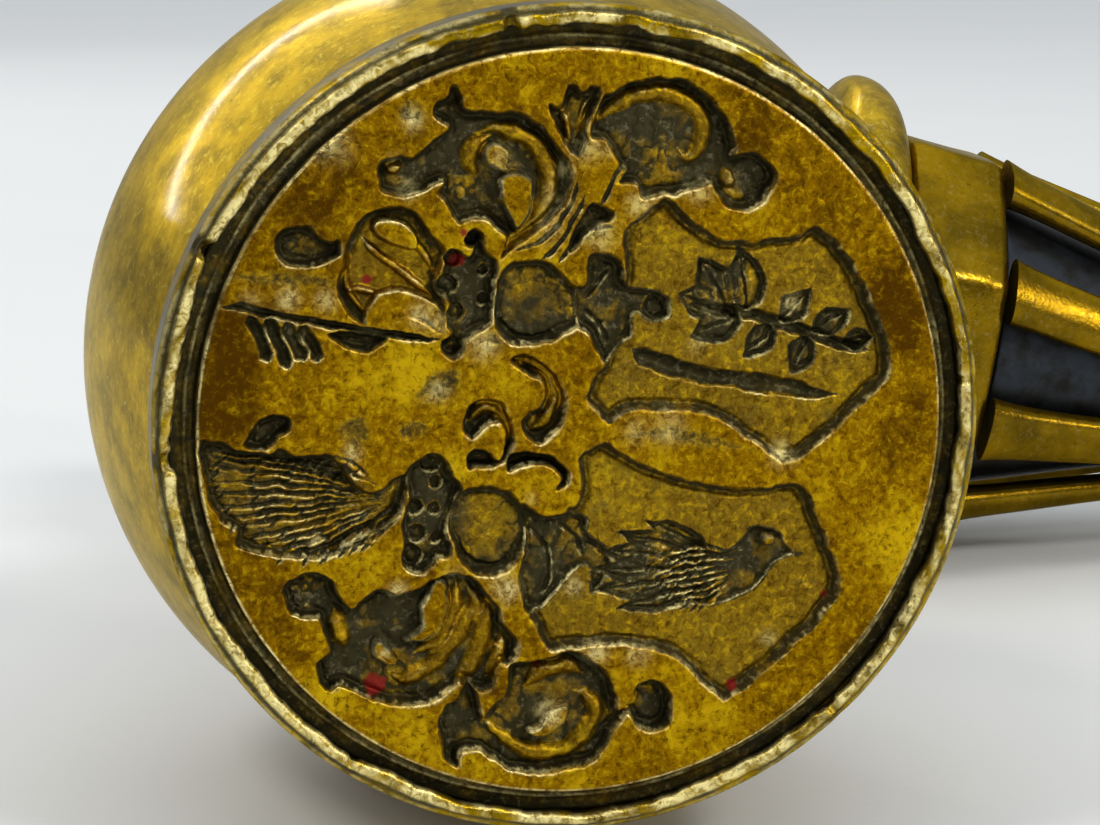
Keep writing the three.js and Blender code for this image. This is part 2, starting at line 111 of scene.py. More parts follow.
disc_back = LIP_THICKNESS + SEAT_GAP + FLANGE_THICKNESS
drum_widest = disc_back + DRUM_FRONT_LENGTH
drum_back = drum_widest + DRUM_BACK_LENGTH
ring_back = drum_back + RING_THICKNESS
stalk_back = ring_back + STALK_LENGTH

# Places along the handle, out from the hinge
TANG_RADIUS = 1.1
CLEVIS_END = 7.6
NECK_RADIUS = 3.9
NECK_BEAD_RADIUS = 5.2
NECK_FLARE_RADIUS = 8.6
NECK_LENGTH = 12.2
GUARD_THICKNESS = 4.0
BLOCK_SIDES = 8
BLOCK_START_RADIUS = 10.6
BLOCK_END_RADIUS = 10.0
BLOCK_LENGTH = 5.0
BAR_COUNT = 8
CAGE_START_RADIUS = 8.95
CAGE_END_RADIUS = 3.8
CAGE_HOLLOW = 0.3
CAGE_LENGTH = 21.6
CAGE_CLOCK = math.radians(21.5)
CAGE_TWIST = math.radians(-21)
CORE_CLEARANCE = 0.35
COLLAR_RADIUS = 5.2
COLLAR_LENGTH = 2.6
KNOB_NECK_RADIUS = 3.0
KNOB_LENGTH = 8.0
NUT_RADIUS = 2.3
NUT_LENGTH = 1.7
NUT_SOCKET = 1.0
BAR_START_HALF_DEPTH = 0.82
BAR_END_HALF_DEPTH = 0.6
BAR_SQUARENESS = 0.85
BAR_ROOT_SHARE = 0.12
BAR_TIP_SHARE = 0.94
PIN_RADIUS = 1.5
PIN_HEAD_RADIUS = 2.4
PIN_HEAD_HEIGHT = 1.1
ROSETTE_SEAT = 5.2
ROSETTE_RADIUS = 3.0
ROSETTE_THICKNESS = 0.8

neck_start = CLEVIS_END + SEAT_GAP
neck_end = neck_start + NECK_LENGTH
guard_start = neck_end + SEAT_GAP
guard_end = guard_start + GUARD_THICKNESS
block_start = guard_end + SEAT_GAP
block_end = block_start + BLOCK_LENGTH
cage_start = block_end + SEAT_GAP
cage_end = cage_start + CAGE_LENGTH
collar_start = cage_end + SEAT_GAP
collar_end = collar_start + COLLAR_LENGTH
knob_start = collar_end + SEAT_GAP
knob_end = knob_start + KNOB_LENGTH
nut_start = knob_end + SEAT_GAP
tang_hole = TANG_RADIUS + TURNED_FIT
stud_hole = STUD_RADIUS + TURNED_FIT

# The engraving's outlines, drawn on the face in hundredths of the field's radius:
# across to the right, then up. First the areas with a level floor.
PIT_SHARES = {
    "upper_shield": [
        (13, 46), (12.5, 53), (18, 57), (22.5, 60.5), (26, 60.5), (30, 55.5), (36, 51.5), (44, 49),
        (53, 49.5), (59, 50.5), (63, 52.5), (66, 52.5), (70.5, 48.5), (75.5, 42.5), (79.5, 35),
        (83.5, 26.5), (86, 18), (86.5, 12.5), (84, 9), (78.5, 3.5), (72.5, -2.5), (66, -7.5), (60, -11),
        (56, -11.5), (52, -8.5), (46, -4), (39.5, 0), (32, 3), (22.5, 3.5), (15, 3.5), (10, 1),
        (6.5, 3), (2.5, 8), (5, 13.5), (7.5, 17), (11, 26), (12.5, 36.5),
    ],
    "lower_shield": [
        (1, -8), (4, -5.5), (8, -4), (12, -6.5), (20, -10.5), (34, -16), (45, -18), (54.5, -17.5),
        (61.5, -17), (65, -21), (68.5, -30.5), (72, -39), (73.5, -46), (73, -49.5), (69, -54.5),
        (61, -62.5), (54, -68.5), (47, -74), (41.5, -77), (39.5, -76), (35.5, -72), (29.5, -66),
        (21, -62), (13, -60.5), (4, -60.5), (-3, -61), (-7.5, -61), (-11, -55), (-12.5, -49.5),
        (-9.5, -41), (-3, -23), (0.5, -20.5),
    ],
    "upper_bust": [
        (-0.5, 36.5), (2.5, 38), (3, 42.5), (4.5, 46), (9.5, 46), (13, 42.5), (13.5, 38), (18.5, 36.5),
        (25.5, 34.5), (27, 31), (26, 28), (21, 26.5), (16.5, 29), (16, 23.5), (12, 20), (8, 17),
        (5.5, 20), (3.5, 24.5), (0, 26.5),
    ],
    "lower_bust": [
        (-15, -20.5), (-8.5, -23.5), (0, -23), (4, -25), (4.5, -29.5), (10, -34), (10, -40.5),
        (6.5, -46), (4, -46.5), (3, -39), (-1.5, -42), (-5.5, -46.5), (-8, -50), (-12.5, -50.5),
        (-14.5, -46.5), (-15.5, -39.5), (-14, -32.5),
    ],
    "upper_coronet": [
        (-29, 51), (-27, 53.5), (-24.5, 52), (-23.5, 47.5), (-20.5, 44.5), (-20.5, 41), (-21.5, 36),
        (-22, 29), (-24.5, 26.5), (-28.5, 24), (-29.5, 20.5), (-32.5, 19), (-35.5, 21), (-35.5, 24.5),
        (-33, 26), (-34.5, 29), (-33.5, 33.5), (-36.5, 36), (-37.5, 39), (-35.5, 41.5), (-34.5, 45),
        (-34.5, 47.5), (-31.5, 48), (-28, 46.5), (-27, 48),
    ],
    "lower_coronet": [
        (-42, -7.5), (-39, -5.5), (-35, -7), (-33, -11.5), (-30, -16), (-32, -21), (-34, -28),
        (-33.5, -33.5), (-36.5, -34.5), (-40.5, -38.5), (-45, -37.5), (-47, -34), (-46, -28.5),
        (-46.5, -23.5), (-44.5, -18), (-45.5, -14), (-45, -10),
    ],
    "wing": [
        (-99, -0.5), (-94, -1), (-88.5, -3.5), (-82, -4.5), (-78.5, -3), (-73.5, -5), (-70.5, -5),
        (-65, -6), (-62, -9), (-59.5, -12.5), (-56.5, -15), (-52.5, -15), (-48.5, -12.5), (-43.5, -10),
        (-44.5, -15.5), (-46, -20), (-47.5, -21.5), (-51.5, -26), (-55.5, -27), (-62, -30.5),
        (-66, -32.5), (-71, -33), (-77.5, -32.5), (-80.5, -32), (-88, -30.5), (-90.5, -28.5),
        (-90.5, -24.5), (-94, -22), (-97, -17.5), (-98, -14.5), (-99.5, -7),
    ],
    "scroll_a": [
        (-34, 80), (-37, 82.5), (-37.5, 85), (-36.5, 87), (-33.5, 88), (-33, 90), (-31.5, 90.5),
        (-29.5, 87.5), (-28.5, 84), (-22, 84), (-14, 83), (-8.5, 79.5), (-4.5, 74.5), (-1.5, 69),
        (-1.5, 63.5), (-3.5, 58), (-7, 54.5), (-11, 51.5), (-16, 48), (-20, 45), (-18.5, 50.5),
        (-20.5, 52.5), (-23.5, 55.5), (-27, 56), (-31, 54.5), (-34, 59.5), (-36.5, 62.5), (-35.5, 65.5),
        (-40, 63.5), (-44, 61.5), (-48, 62), (-51.5, 63.5), (-52.5, 67), (-52, 70.5), (-49.5, 72.5),
        (-46.5, 73), (-43, 72), (-39.5, 75.5), (-36, 78),
    ],
    "crown_leaf": [
        (-7.5, 85.5), (-4, 85), (-3, 87.5), (-2, 90.5), (0, 90.5), (1.5, 89), (4, 90.5), (6, 90),
        (6.5, 87), (5, 83.5), (3, 79), (3.5, 75.5), (1, 71), (-1.5, 72.5), (-4, 77), (-6, 81.5),
    ],
    "scroll_b": [
        (6.5, 87), (10, 88.5), (14.5, 91), (22, 92), (29.5, 91.5), (36, 87), (40, 82), (43, 75),
        (43, 71.5), (45.5, 72), (48.5, 72), (52.5, 69.5), (54, 65.5), (52, 60.5), (47.5, 57),
        (42, 57.5), (37.5, 61), (36, 64), (33, 62.5), (27, 61.5), (22.5, 61.5), (17.5, 60.5),
        (15.5, 64.5), (10.5, 64.5), (12, 68), (9.5, 73.5), (7.5, 76), (4, 77.5),
    ],
    "scroll_c": [
        (-17.5, 18.5), (-12.5, 20), (-6.5, 16.5), (-3, 11), (-2.5, 3.5), (-6.5, -2), (-10, -4),
        (-13.5, -2), (-14.5, 1.5), (-12.5, 4.5), (-9.5, 6), (-8, 9.5), (-10, 13), (-13.5, 14.5),
    ],
    "scroll_d": [
        (-30.5, 1.5), (-30, 5), (-28.5, 7), (-24.5, 8.5), (-19.5, 7.5), (-16.5, 2.5), (-16, -3),
        (-18, -7.5), (-22, -10.5), (-26, -10.5), (-29, -10), (-29.5, -7), (-27.5, -5), (-23.5, -6),
        (-21, -8.5), (-19.5, -4.5), (-19.5, -1), (-21.5, 1.5), (-25, 0), (-28, -2.5),
    ],
    "scroll_e": [
        (-18.5, -7), (-12.5, -6), (-6.5, -7), (-2.5, -11), (-2.5, -15.5), (-5.5, -17), (-4.5, -13.5),
        (-6.5, -10.5), (-10, -9.5), (-14, -10), (-18.5, -11.5),
    ],
    "scroll_f": [
        (-78.5, -41), (-75.5, -38), (-70, -36.5), (-65.5, -39), (-62.5, -43.5), (-60.5, -46.5),
        (-58, -44.5), (-53, -41.5), (-47.5, -43), (-41.5, -41.5), (-39, -40), (-33.5, -38),
        (-30.5, -39), (-26.5, -40.5), (-21.5, -47.5), (-18, -54.5), (-15, -58.5), (-17, -64),
        (-20.5, -64.5), (-23, -70.5), (-26.5, -71.5), (-31, -68.5), (-33.5, -70), (-38.5, -73.5),
        (-44, -74.5), (-51, -73.5), (-57, -71.5), (-61, -69), (-64, -68), (-66.5, -69.5), (-69, -67),
        (-69.5, -62), (-68, -60), (-66, -57.5), (-68, -52), (-69.5, -49), (-74, -49), (-77.5, -46),
    ],
    "scroll_g": [
        (-30.5, -69.5), (-28.5, -67.5), (-26.5, -71.5), (-25, -78), (-23, -75.5), (-18.5, -71.5),
        (-18, -67), (-17, -64), (-12.5, -63), (-6.5, -62.5), (-1.5, -61), (3.5, -63), (8, -67),
        (11.5, -74), (12, -78), (16, -72.5), (17.5, -70.5), (22, -70), (25.5, -73), (27, -78),
        (25.5, -83), (21.5, -85), (17, -83.5), (14.5, -79.5), (11.5, -83), (8, -88.5), (4.5, -92.5),
        (-2.5, -94.5), (-9.5, -95), (-17.5, -93.5), (-23, -90), (-27, -87.5), (-31, -88.5),
        (-32, -91.5), (-33, -92), (-35.5, -90), (-36, -87), (-37.5, -80), (-36, -75), (-32.5, -72.5),
    ],
}
# Areas with a hollow middle
BOWL_SHARES = {
    "upper_helmet": [
        (-21, 26.5), (-22, 33.5), (-20.5, 40), (-17, 44), (-11.5, 45), (-5.5, 43), (0.5, 37), (2, 32.5),
        (0.5, 26.5), (-4, 24.5), (-7.5, 22.5), (-12.5, 22), (-17.5, 23),
    ],
    "lower_helmet": [
        (-33.5, -30.5), (-34.5, -25), (-33.5, -20), (-29.5, -16), (-23.5, -15), (-18, -17),
        (-14, -21.5), (-12.5, -27.5), (-14, -33.5), (-17.5, -38), (-23, -39.5), (-29, -38),
    ],
    "plume": [
        (-62, 43.5), (-60.5, 48.5), (-59, 53.5), (-55, 58), (-48, 59.5), (-41.5, 57.5), (-38, 52.5),
        (-34.5, 47.5), (-35, 44), (-37, 39), (-34.5, 34.5), (-35.5, 26.5), (-40, 29), (-45.5, 30.5),
        (-49.5, 27.5), (-56.5, 29), (-61.5, 34), (-63, 38.5),
    ],
    "tuft": [
        (-79, 50.5), (-78, 53.5), (-74.5, 55), (-70.5, 54.5), (-67.5, 52.5), (-64.5, 51), (-62.5, 51.5),
        (-61.5, 49.5), (-62, 47), (-65, 45.5), (-68, 44.5), (-72.5, 44), (-76.5, 45), (-78.5, 48),
    ],
    "dart_leaf": [(-65, 27), (-61, 23), (-56.5, 21.5), (-52.5, 22.5), (-50, 25.5), (-57, 27)],
    "wing_tuft": [
        (-88, -2), (-86, 2), (-83, 5), (-79.5, 6), (-75.5, 4.5), (-76, 1.5), (-78.5, -1), (-81.5, -3.5),
        (-85, -4),
    ],
    "bird": [
        (22, -41), (28, -36.5), (35, -34), (41, -35), (45.5, -33), (48, -29.5), (53, -28.5),
        (57.5, -31), (59, -34), (64, -37.5), (58.5, -38.5), (55, -41), (52, -45.5), (46, -49.5),
        (38, -51.5), (30, -50.5), (24.5, -46.5),
    ],
    "small_leaf": [
        (-2, 46.5), (-1.5, 50), (0.5, 54), (3, 58.5), (5, 59.5), (10, 57.5), (9.5, 55), (6.5, 53),
        (2.5, 50.5), (0, 47.5),
    ],
}
# Areas left standing inside a cut
ISLE_SHARES = {
    "bird_eye": [(52, -32.5), (53, -31.5), (54.5, -32), (54.5, -33.5), (53, -34)],
    "tail_leaf": [(-19.5, -42), (-17.5, -39), (-15.5, -43), (-17, -47.5), (-19, -46)],
    "leaf_edge": [(8, 61.5), (9.5, 64.5), (12, 69), (13, 68.5), (11.5, 64.5), (10, 61)],
    "scroll_a_large": [
        (-19, 66.5), (-15, 67), (-11.5, 65), (-12, 59.5), (-15.5, 53.5), (-18, 57.5), (-19, 62),
    ],
    "scroll_a_small": [
        (-23.5, 73.5), (-21, 74.5), (-18, 73), (-19, 70), (-18, 68.5), (-21, 69), (-23.5, 70.5),
    ],
    "scroll_f_large": [
        (-37.5, -40.5), (-35, -42.5), (-35, -48.5), (-38.5, -55), (-45.5, -56.5), (-42.5, -54.5),
        (-40.5, -52), (-41, -47),
    ],
    "scroll_f_small": [(-54.5, -57.5), (-52.5, -57), (-49.5, -61), (-50, -63), (-53.5, -60.5)],
    "scroll_g_bowl": [
        (-2, -77), (-3, -80.5), (-6.5, -83), (-9.5, -84), (-12, -83), (-9, -82), (-7.5, -78.5),
        (-5, -77.5),
    ],
    "plume_foot": [
        (-55.5, 28.5), (-54, 34), (-51, 37), (-45.5, 37), (-40.5, 34.5), (-36, 32.5), (-36, 26.5),
        (-40, 30), (-45.5, 30.5), (-49.5, 27.5),
    ],
    "plume_top": [(-53, 55), (-48.5, 55.5), (-44, 53), (-43, 49), (-47, 50), (-51, 52)],
}
# Single strokes
LINE_SHARES = {
    "stem": [(81, 18), (72, 20.5), (61, 24.5), (50, 28), (39.5, 30), (31, 31.5)],
    "visor1": [(-20.5, 30), (-17, 25.5), (-12, 23.5), (-5.5, 25)],
    "visor2": [(-32, -31), (-28, -35.5), (-22.5, -37.5), (-16.5, -35.5)],
    "collar1": [(3, 34), (6.5, 38), (9.5, 42)],
    "collar2": [(3.5, 31), (7, 27), (9.5, 22)],
    "collar3": [(-11.5, -27.5), (-7.5, -32.5), (-6.5, -39.5), (-8.5, -46.5)],
    "collar4": [(-4.5, -26), (0.5, -31), (3, -36.5)],
    "scratch1": [(-69, 78), (-58.5, 80)],
    "scratch2": [(-70, 76.5), (-59, 78)],
    "scratch3": [(-70.5, 74.5), (-60.5, 75.5)],
    "scratch4": [(-72, 72.5), (-62.5, 73.5)],
    "vein3": [(-4.5, 44), (-1, 48.5), (4, 52), (9.5, 53)],
    "vein4": [(6.5, 59), (9.5, 65.5), (12.5, 70.5)],
    "arrow": [(-94, 35), (-83, 33), (-68, 30), (-51, 26.5), (-35.5, 24.5)],
    "bar": [(15.5, 20), (22.5, 16.5), (33.5, 13), (50, 10), (72, 6)],
    "comb1": [(-86.5, 32), (-83.5, 27), (-81, 19.5)],
    "comb2": [(-82, 31.5), (-78.5, 25.5), (-75.5, 17.5)],
    "comb3": [(-77, 30.5), (-74, 25), (-71.5, 19.5)],
    "comb4": [(-73, 29.5), (-69.5, 24), (-68, 19.5)],
    "vein1": [(-16, 47.5), (-8.5, 50.5), (-1.5, 59), (0, 65.5)],
    "vein2": [(-9.5, 44.5), (-3.5, 50), (2.5, 61.5)],
}
# Ridges left standing inside a cut
RIDGE_SHARES = {
    "plume_a": [(-36.5, 34), (-44, 40.5), (-52, 47), (-56.5, 52)],
    "plume_b": [(-36, 39.5), (-40.5, 47.5), (-46, 53.5), (-49.5, 57)],
    "plume_c": [(-37, 30.5), (-46.5, 35), (-55.5, 37.5), (-61, 38)],
    "plume_d": [(-59, 48.5), (-60.5, 43.5), (-59, 36.5), (-54, 30.5)],
    "crown_a": [(-1, 73.5), (-1.5, 79), (-3, 84.5)],
    "crown_b": [(1, 76), (2, 82.5), (4, 87)],
    "scroll_a1_rib": [
        (-20.5, 46), (-13.5, 52.5), (-8, 59), (-6.5, 66), (-8.5, 72.5), (-13.5, 77), (-20, 79),
        (-26.5, 78),
    ],
    "scroll_a2_rib": [(-26, 67), (-28, 71.5), (-26.5, 75), (-22.5, 77)],
    "scroll_a3_rib": [(-46.5, 67.5), (-48, 69.5), (-50, 68.5)],
    "scroll_b1_rib": [
        (4.5, 79.5), (10, 84.5), (17, 87), (24.5, 88), (31.5, 85), (34.5, 80), (33.5, 74), (30, 71),
        (27.5, 73.5),
    ],
    "scroll_b2_rib": [(43, 62.5), (41.5, 65.5), (43, 67.5)],
    "scroll_b3_rib": [(3.5, 63), (7.5, 68), (11, 73.5)],
    "scroll_f1_rib": [(-24, -45.5), (-24, -52.5), (-27, -63), (-32.5, -68.5)],
    "scroll_f2_rib": [
        (-28.5, -43), (-26.5, -47.5), (-31.5, -55.5), (-37, -62.5), (-45.5, -67.5), (-50.5, -66),
    ],
    "scroll_f3_rib": [(-32, -41), (-32.5, -48.5), (-36.5, -56.5), (-43, -60.5)],
    "scroll_f4_rib": [(-19, -57), (-20.5, -62.5), (-23.5, -68)],
    "scroll_f5_rib": [(-64.5, -47.5), (-63, -53), (-62, -58)],
    "scroll_g1_rib": [
        (-24.5, -79.5), (-18.5, -85.5), (-10.5, -89.5), (-2.5, -89), (3.5, -84), (6, -78.5),
        (3.5, -73.5), (0, -72.5),
    ],
    "scroll_g2_rib": [(-13, -71), (-8.5, -67), (-2.5, -65.5), (3, -68)],
    "scroll_g3_rib": [(13, -78.5), (15, -75.5), (16, -72.5)],
    "scroll_c_rib": [(-16.5, 17), (-12, 18), (-7, 14), (-5, 8), (-7.5, 2.5), (-11.5, -1)],
    "scroll_d_rib": [(-28.5, 2), (-24.5, 5.5), (-20.5, 5), (-18, 0), (-19.5, -5.5)],
}
# Leaves and feathers: their two ends, and their fullness as a share of their length
SPRIG_SHARES = [
    ((43, 29.5), (33.5, 45), 0.34), ((48, 28.5), (45, 48), 0.32), ((39.5, 30), (27.5, 35), 0.4),
    ((46, 29), (31, 22.5), 0.34), ((56, 26), (65, 36), 0.34), ((55, 26), (46, 16), 0.34),
    ((65, 23), (76, 30), 0.34), ((65, 22.5), (59, 11.5), 0.36), ((73.5, 20), (83, 22), 0.36),
]
BIRD_SHARES = [
    ((38, -36), (18, -25.5), 0.16), ((36, -37), (10, -29), 0.15), ((36, -39), (5, -34), 0.15),
    ((36, -41), (3, -39.5), 0.15), ((36, -43), (4, -45.5), 0.15), ((37, -45), (10, -51), 0.16),
]
# Beads and berries: across and up in shares, and radius in millimetres
BEAD_SHARES = [
    (-27, 50.5, 0.34), (-32, 45.5, 0.37), (-34, 38.5, 0.44), (-31.5, 31, 0.37), (-32.5, 22.5, 0.4),
    (-24, 42, 0.27), (-24.5, 34.5, 0.27), (-38.5, -9, 0.4), (-42.5, -21, 0.37), (-42, -28, 0.4),
    (-43.5, -34, 0.44), (-37, -14.5, 0.3), (-37.5, -21.5, 0.27), (-37, -29.5, 0.27), (22.5, 31, 0.5),
]
# Bruises in the field
DENT_SHARES = [
    [
        (-47.5, 84.5), (-46, 87.5), (-43, 88.5), (-40, 86.5), (-39.5, 83), (-41, 79.5), (-45, 79.5),
        (-47.5, 81.5),
    ],
    [
        (-44, 11), (-41, 15), (-36, 18), (-31, 18), (-29, 15), (-30.5, 10.5), (-34.5, 7), (-40.5, 6),
        (-43.5, 7.5),
    ],
    [(-64.5, 1), (-62, 4.5), (-58, 6), (-54.5, 3), (-54, -1), (-56.5, -4), (-61, -4.5)],
    [(-49, 0.5), (-46, 3.5), (-40.5, 4), (-38.5, 0.5), (-40.5, -2.5), (-46, -3.5)],
    [(-92.5, 42.5), (-83, 44.5), (-65, 43), (-63.5, 39), (-72.5, 38), (-88, 39.5)],
    [(11, -3.5), (20, 0.5), (33.5, -0.5), (44.5, -5), (50.5, -9), (39, -8), (25.5, -6)],
    [(-26.5, 24.5), (-23.5, 27), (-19.5, 26), (-18, 22.5), (-22, 20), (-25.5, 21)],
    [(-0.5, 51), (3.5, 53), (9.5, 54.5), (11, 52), (6.5, 48.5), (1, 47.5)],
]

# Figures' floors by tone: 0 is clean brass, a half olive film, and above 1 near black
FLOOR_TONES = {
    "wing": 0.86, "upper_coronet": 1.4, "lower_coronet": 1.4, "plume": 0.55, "upper_helmet": 0.86,
    "lower_helmet": 0.86,
}

# Where the feathers' strokes start, from first to last, and where they end
WING_ROOT_SHARES = [(-53, -13), (-47, -22)]
WING_TIP_SHARES = [
    (-66, -6), (-84, -5), (-97, -4), (-98.5, -11), (-95.5, -19), (-90, -26), (-80, -31.5), (-66, -32),
    (-54, -26.5),
]
BIRD_ROOT_SHARES = [(45, -34), (43, -46)]
BIRD_TIP_SHARES = [(20, -38), (22, -42), (26, -46), (33, -50)]

# Strokes by kind: half width and depth in millimetres, and how much dirt they hold
LINE_CUTS = {
    "arrow": (0.15, 0.34, 0.9),
    "bar": (0.34, 0.3, 0.75),
    "comb": (0.26, 0.36, 0.9),
    "stem": (0.24, 0.34, 0.9),
    "scratch": (0.035, 0.02, 0.05),
}

# Soft patches of tone on the field: across and up in shares, radius in millimetres, and how
# bright (above zero) or brown (below zero) they are
TONE_PATCHES = [
    (-95.5, 28.5, 1.3, -1), (-89.5, 16, 1.4, -0.9), (-98, 5.5, 1, -0.8), (-67.5, 69, 1.5, -0.6),
    (-72.5, 58, 1, -0.4), (86, 34, 1.1, -1), (91, 24, 1, -0.8), (79, 48.5, 1.3, -0.35),
    (-88, -32.5, 1.3, -0.7), (-80.5, -43.5, 1, -0.5), (-33, 94.5, 2, -0.35), (90.5, -3.5, 1.7, -0.45),
    (52, 83.5, 1.8, -0.35), (65.5, 67, 1.3, -0.3), (-4.5, -57.5, 0.7, -0.3), (-45.5, 16, 1.4, 1),
    (-61.5, 9, 1, 0.6), (-33, -10.5, 0.7, 0.9), (-54, -32.5, 1.2, 0.7), (-66, -68.5, 0.7, 0.7),
    (-45, -84, 1.3, 0.7), (34.5, -84.5, 2, 0.35), (89.5, -30, 1.5, 0.8), (80, -50.5, 1.3, 0.5),
    (-48.5, -51.5, 0.5, 1), (-32.5, 9.5, 1, 0.4), (17, 98.5, 1, 0.4), (-17, 14.5, 0.8, 0.5),
    (-4.5, -0.5, 0.7, 0.4), (28, -4.5, 1.3, 0.3), (5.5, -11.5, 0.7, 0.3), (-20.5, -71, 0.7, -0.6),
    (-59.5, 48.5, 1.3, -0.3), (-85.5, 50.5, 1, -0.5), (49.5, 54, 1, 0.2), (-26, -90, 1, 0.4),
    (7, -94.5, 1.7, 0.3), (59.5, -77.5, 1.7, 0.25), (56.5, -78.5, 1.6, -0.6), (79.5, -57.5, 1.4, -0.45),
    (89, -3.5, 1.2, -0.3), (20.5, -94.5, 1.2, -0.3), (-76.5, -54.5, 1, -0.4), (-61.5, 8, 0.9, -0.45),
    (31, -4.5, 0.7, -0.5), (49, 80.5, 1.5, -0.45), (68.5, 55, 1.2, -0.2), (-4.5, 88, 0.8, -0.3),
    (30, 87.5, 1, 0.3), (-4.5, -91, 0.8, 0.4), (-66, -68.5, 0.8, 0.4), (-89, -8.5, 0.7, -0.5),
]

# Where the metal is rubbed or cut bright, and painted highlights where the field catches the light: across
# and up in shares, radius in millimetres, amount
PALE_PATCHES = [
    (-20, 71.5, 0.34, 1), (-40, 30.5, 0.37, 0.9), (-36.5, 28.5, 0.27, 1), (-18.5, -43, 0.4, 0.8),
    (-51.5, -59.5, 0.17, 1), (-6.5, -78.5, 0.34, 0.9), (3, 74, 0.4, 0.9), (-5.5, 60.5, 0.44, 0.9),
    (-7.5, 53, 0.4, 0.8), (-3, 68, 0.27, 0.6), (8, 73.5, 0.27, 0.5), (25, 0, 0.47, 0.6),
    (16, -1, 0.34, 0.7), (-64.5, 75.5, 0.54, 0.5), (-25, 23, 0.4, 0.7), (-85.5, 35.5, 0.3, 0.6),
    (-75.5, 36, 0.3, 0.7), (-66, 35.5, 0.3, 0.6), (-48, -42.5, 0.27, 0.6), (-69, -29, 0.2, 0.7),
    (-59.5, -5, 0.24, 0.7), (-43, 82, 0.3, 0.6), (-36.5, 10.5, 0.3, 0.6), (33.5, 21, 0.27, 0.6),
    (59.5, 31.5, 0.27, 0.6), (38, 30, 0.27, 0.5), (7, 51, 0.4, 0.7), (17, 59, 0.34, 0.6),
    (33, 62.5, 0.34, 0.5), (42.5, 64.5, 0.27, 0.6), (-12, -19, 0.2, 0.5), (0, -44, 0.27, 0.5),
    (5.5, -61.5, 0.34, 0.7), (17.5, -63, 0.34, 0.8), (57, -9.5, 0.34, 0.9), (53.5, -60.5, 0.27, 0.6),
    (-32.5, -38.5, 0.27, 0.5), (-44, 64, 0.27, 0.5), (-47.5, 70.5, 0.3, 0.4),
]

# Wax left in the cuts: across and up in shares, and radius in millimetres
WAX_SPOTS = [
    (-55, 40, 0.24), (-54, -69, 0.44), (-10.5, -64.5, 0.17), (44, -73, 0.24), (69.5, -48.5, 0.2),
    (-31, 44.5, 0.3), (-30, 52.5, 0.17),
]

# Nicks in the rim: where round it in degrees from the right, half width in degrees, and depth
RIM_NICKS = [
    (99, 1.2, 0.35), (153, 1.6, 0.4), (183, 1.5, 0.3), (5, 0.8, 0.15), (312, 1.2, 0.15),
    (236, 1.0, 0.2),
]

# How pale the rim's crest is, from rubbed wear and from painted highlight that is strongest at
# the upper left and round the bottom: where round it in degrees, and amount
RIM_SHINE = [
    (0, 0.4), (30, 0.5), (60, 0.5), (92, 0.45), (112, 0.6), (124, 1.0), (150, 1.0), (158, 0.7),
    (180, 0.6), (200, 0.8), (230, 0.95), (262, 0.75), (290, 0.95), (320, 0.8), (345, 0.4),
]


def linear(hex_colour):
    """An sRGB hex value as linear RGBA."""
    channels = [int(hex_colour[i : i + 2], 16) / 255 for i in (1, 3, 5)]
    return tuple(c / 12.92 if c <= 0.04045 else ((c + 0.055) / 1.055) ** 2.4 for c in channels) + (1.0,)


def size_property(name, description, metres):
    """A size that the user can change."""
    return bpy.props.FloatProperty(name=name, description=description, default=metres, unit="LENGTH")


class SealSizes(bpy.types.PropertyGroup):
    """The sizes that change how the seal looks."""

    face_radius: size_property("Face radius", "Outside radius of the rubbed rim", 0.014)
    lip_radius: size_property("Lip radius", "Inside radius of the rim's lip", 0.0133)
    field_radius: size_property("Field radius", "Radius of the engraved field", 0.01253)
    groove_depth: size_property("Groove depth", "Depth of the groove round the field", 0.00085)
    shield_depth: size_property("Shield depth", "Depth of the shields' floors", 0.0004)
    figure_depth: size_property("Figure depth", "Greatest depth of the helmets and crests", 0.0007)
    scroll_depth: size_property("Scroll depth", "Depth of the mantling's scrolls", 0.0006)
    drum_radius: size_property("Head radius", "Greatest radius of the cushion-shaped head", 0.0158)
    guard_radius: size_property("Guard radius", "Radius of the handle's guard", 0.0123)
    knob_radius: size_property("Knob radius", "Radius of the handle's end knob", 0.00626)
    bar_start_half_width: size_property(
        "Bar half width at the block", "Half the width of a cage bar at its root", 0.0015
    )
    bar_end_half_width: size_property(
        "Bar half width at the collar", "Half the width of a cage bar at its tip", 0.00095
    )


def colour_property(name, description, hex_colour):
    """A colour that the user can change, from its sRGB hex value."""
    return bpy.props.FloatVectorProperty(
        name=name, description=description, subtype="COLOR", size=4, min=0, max=1,
        default=linear(hex_colour),
    )


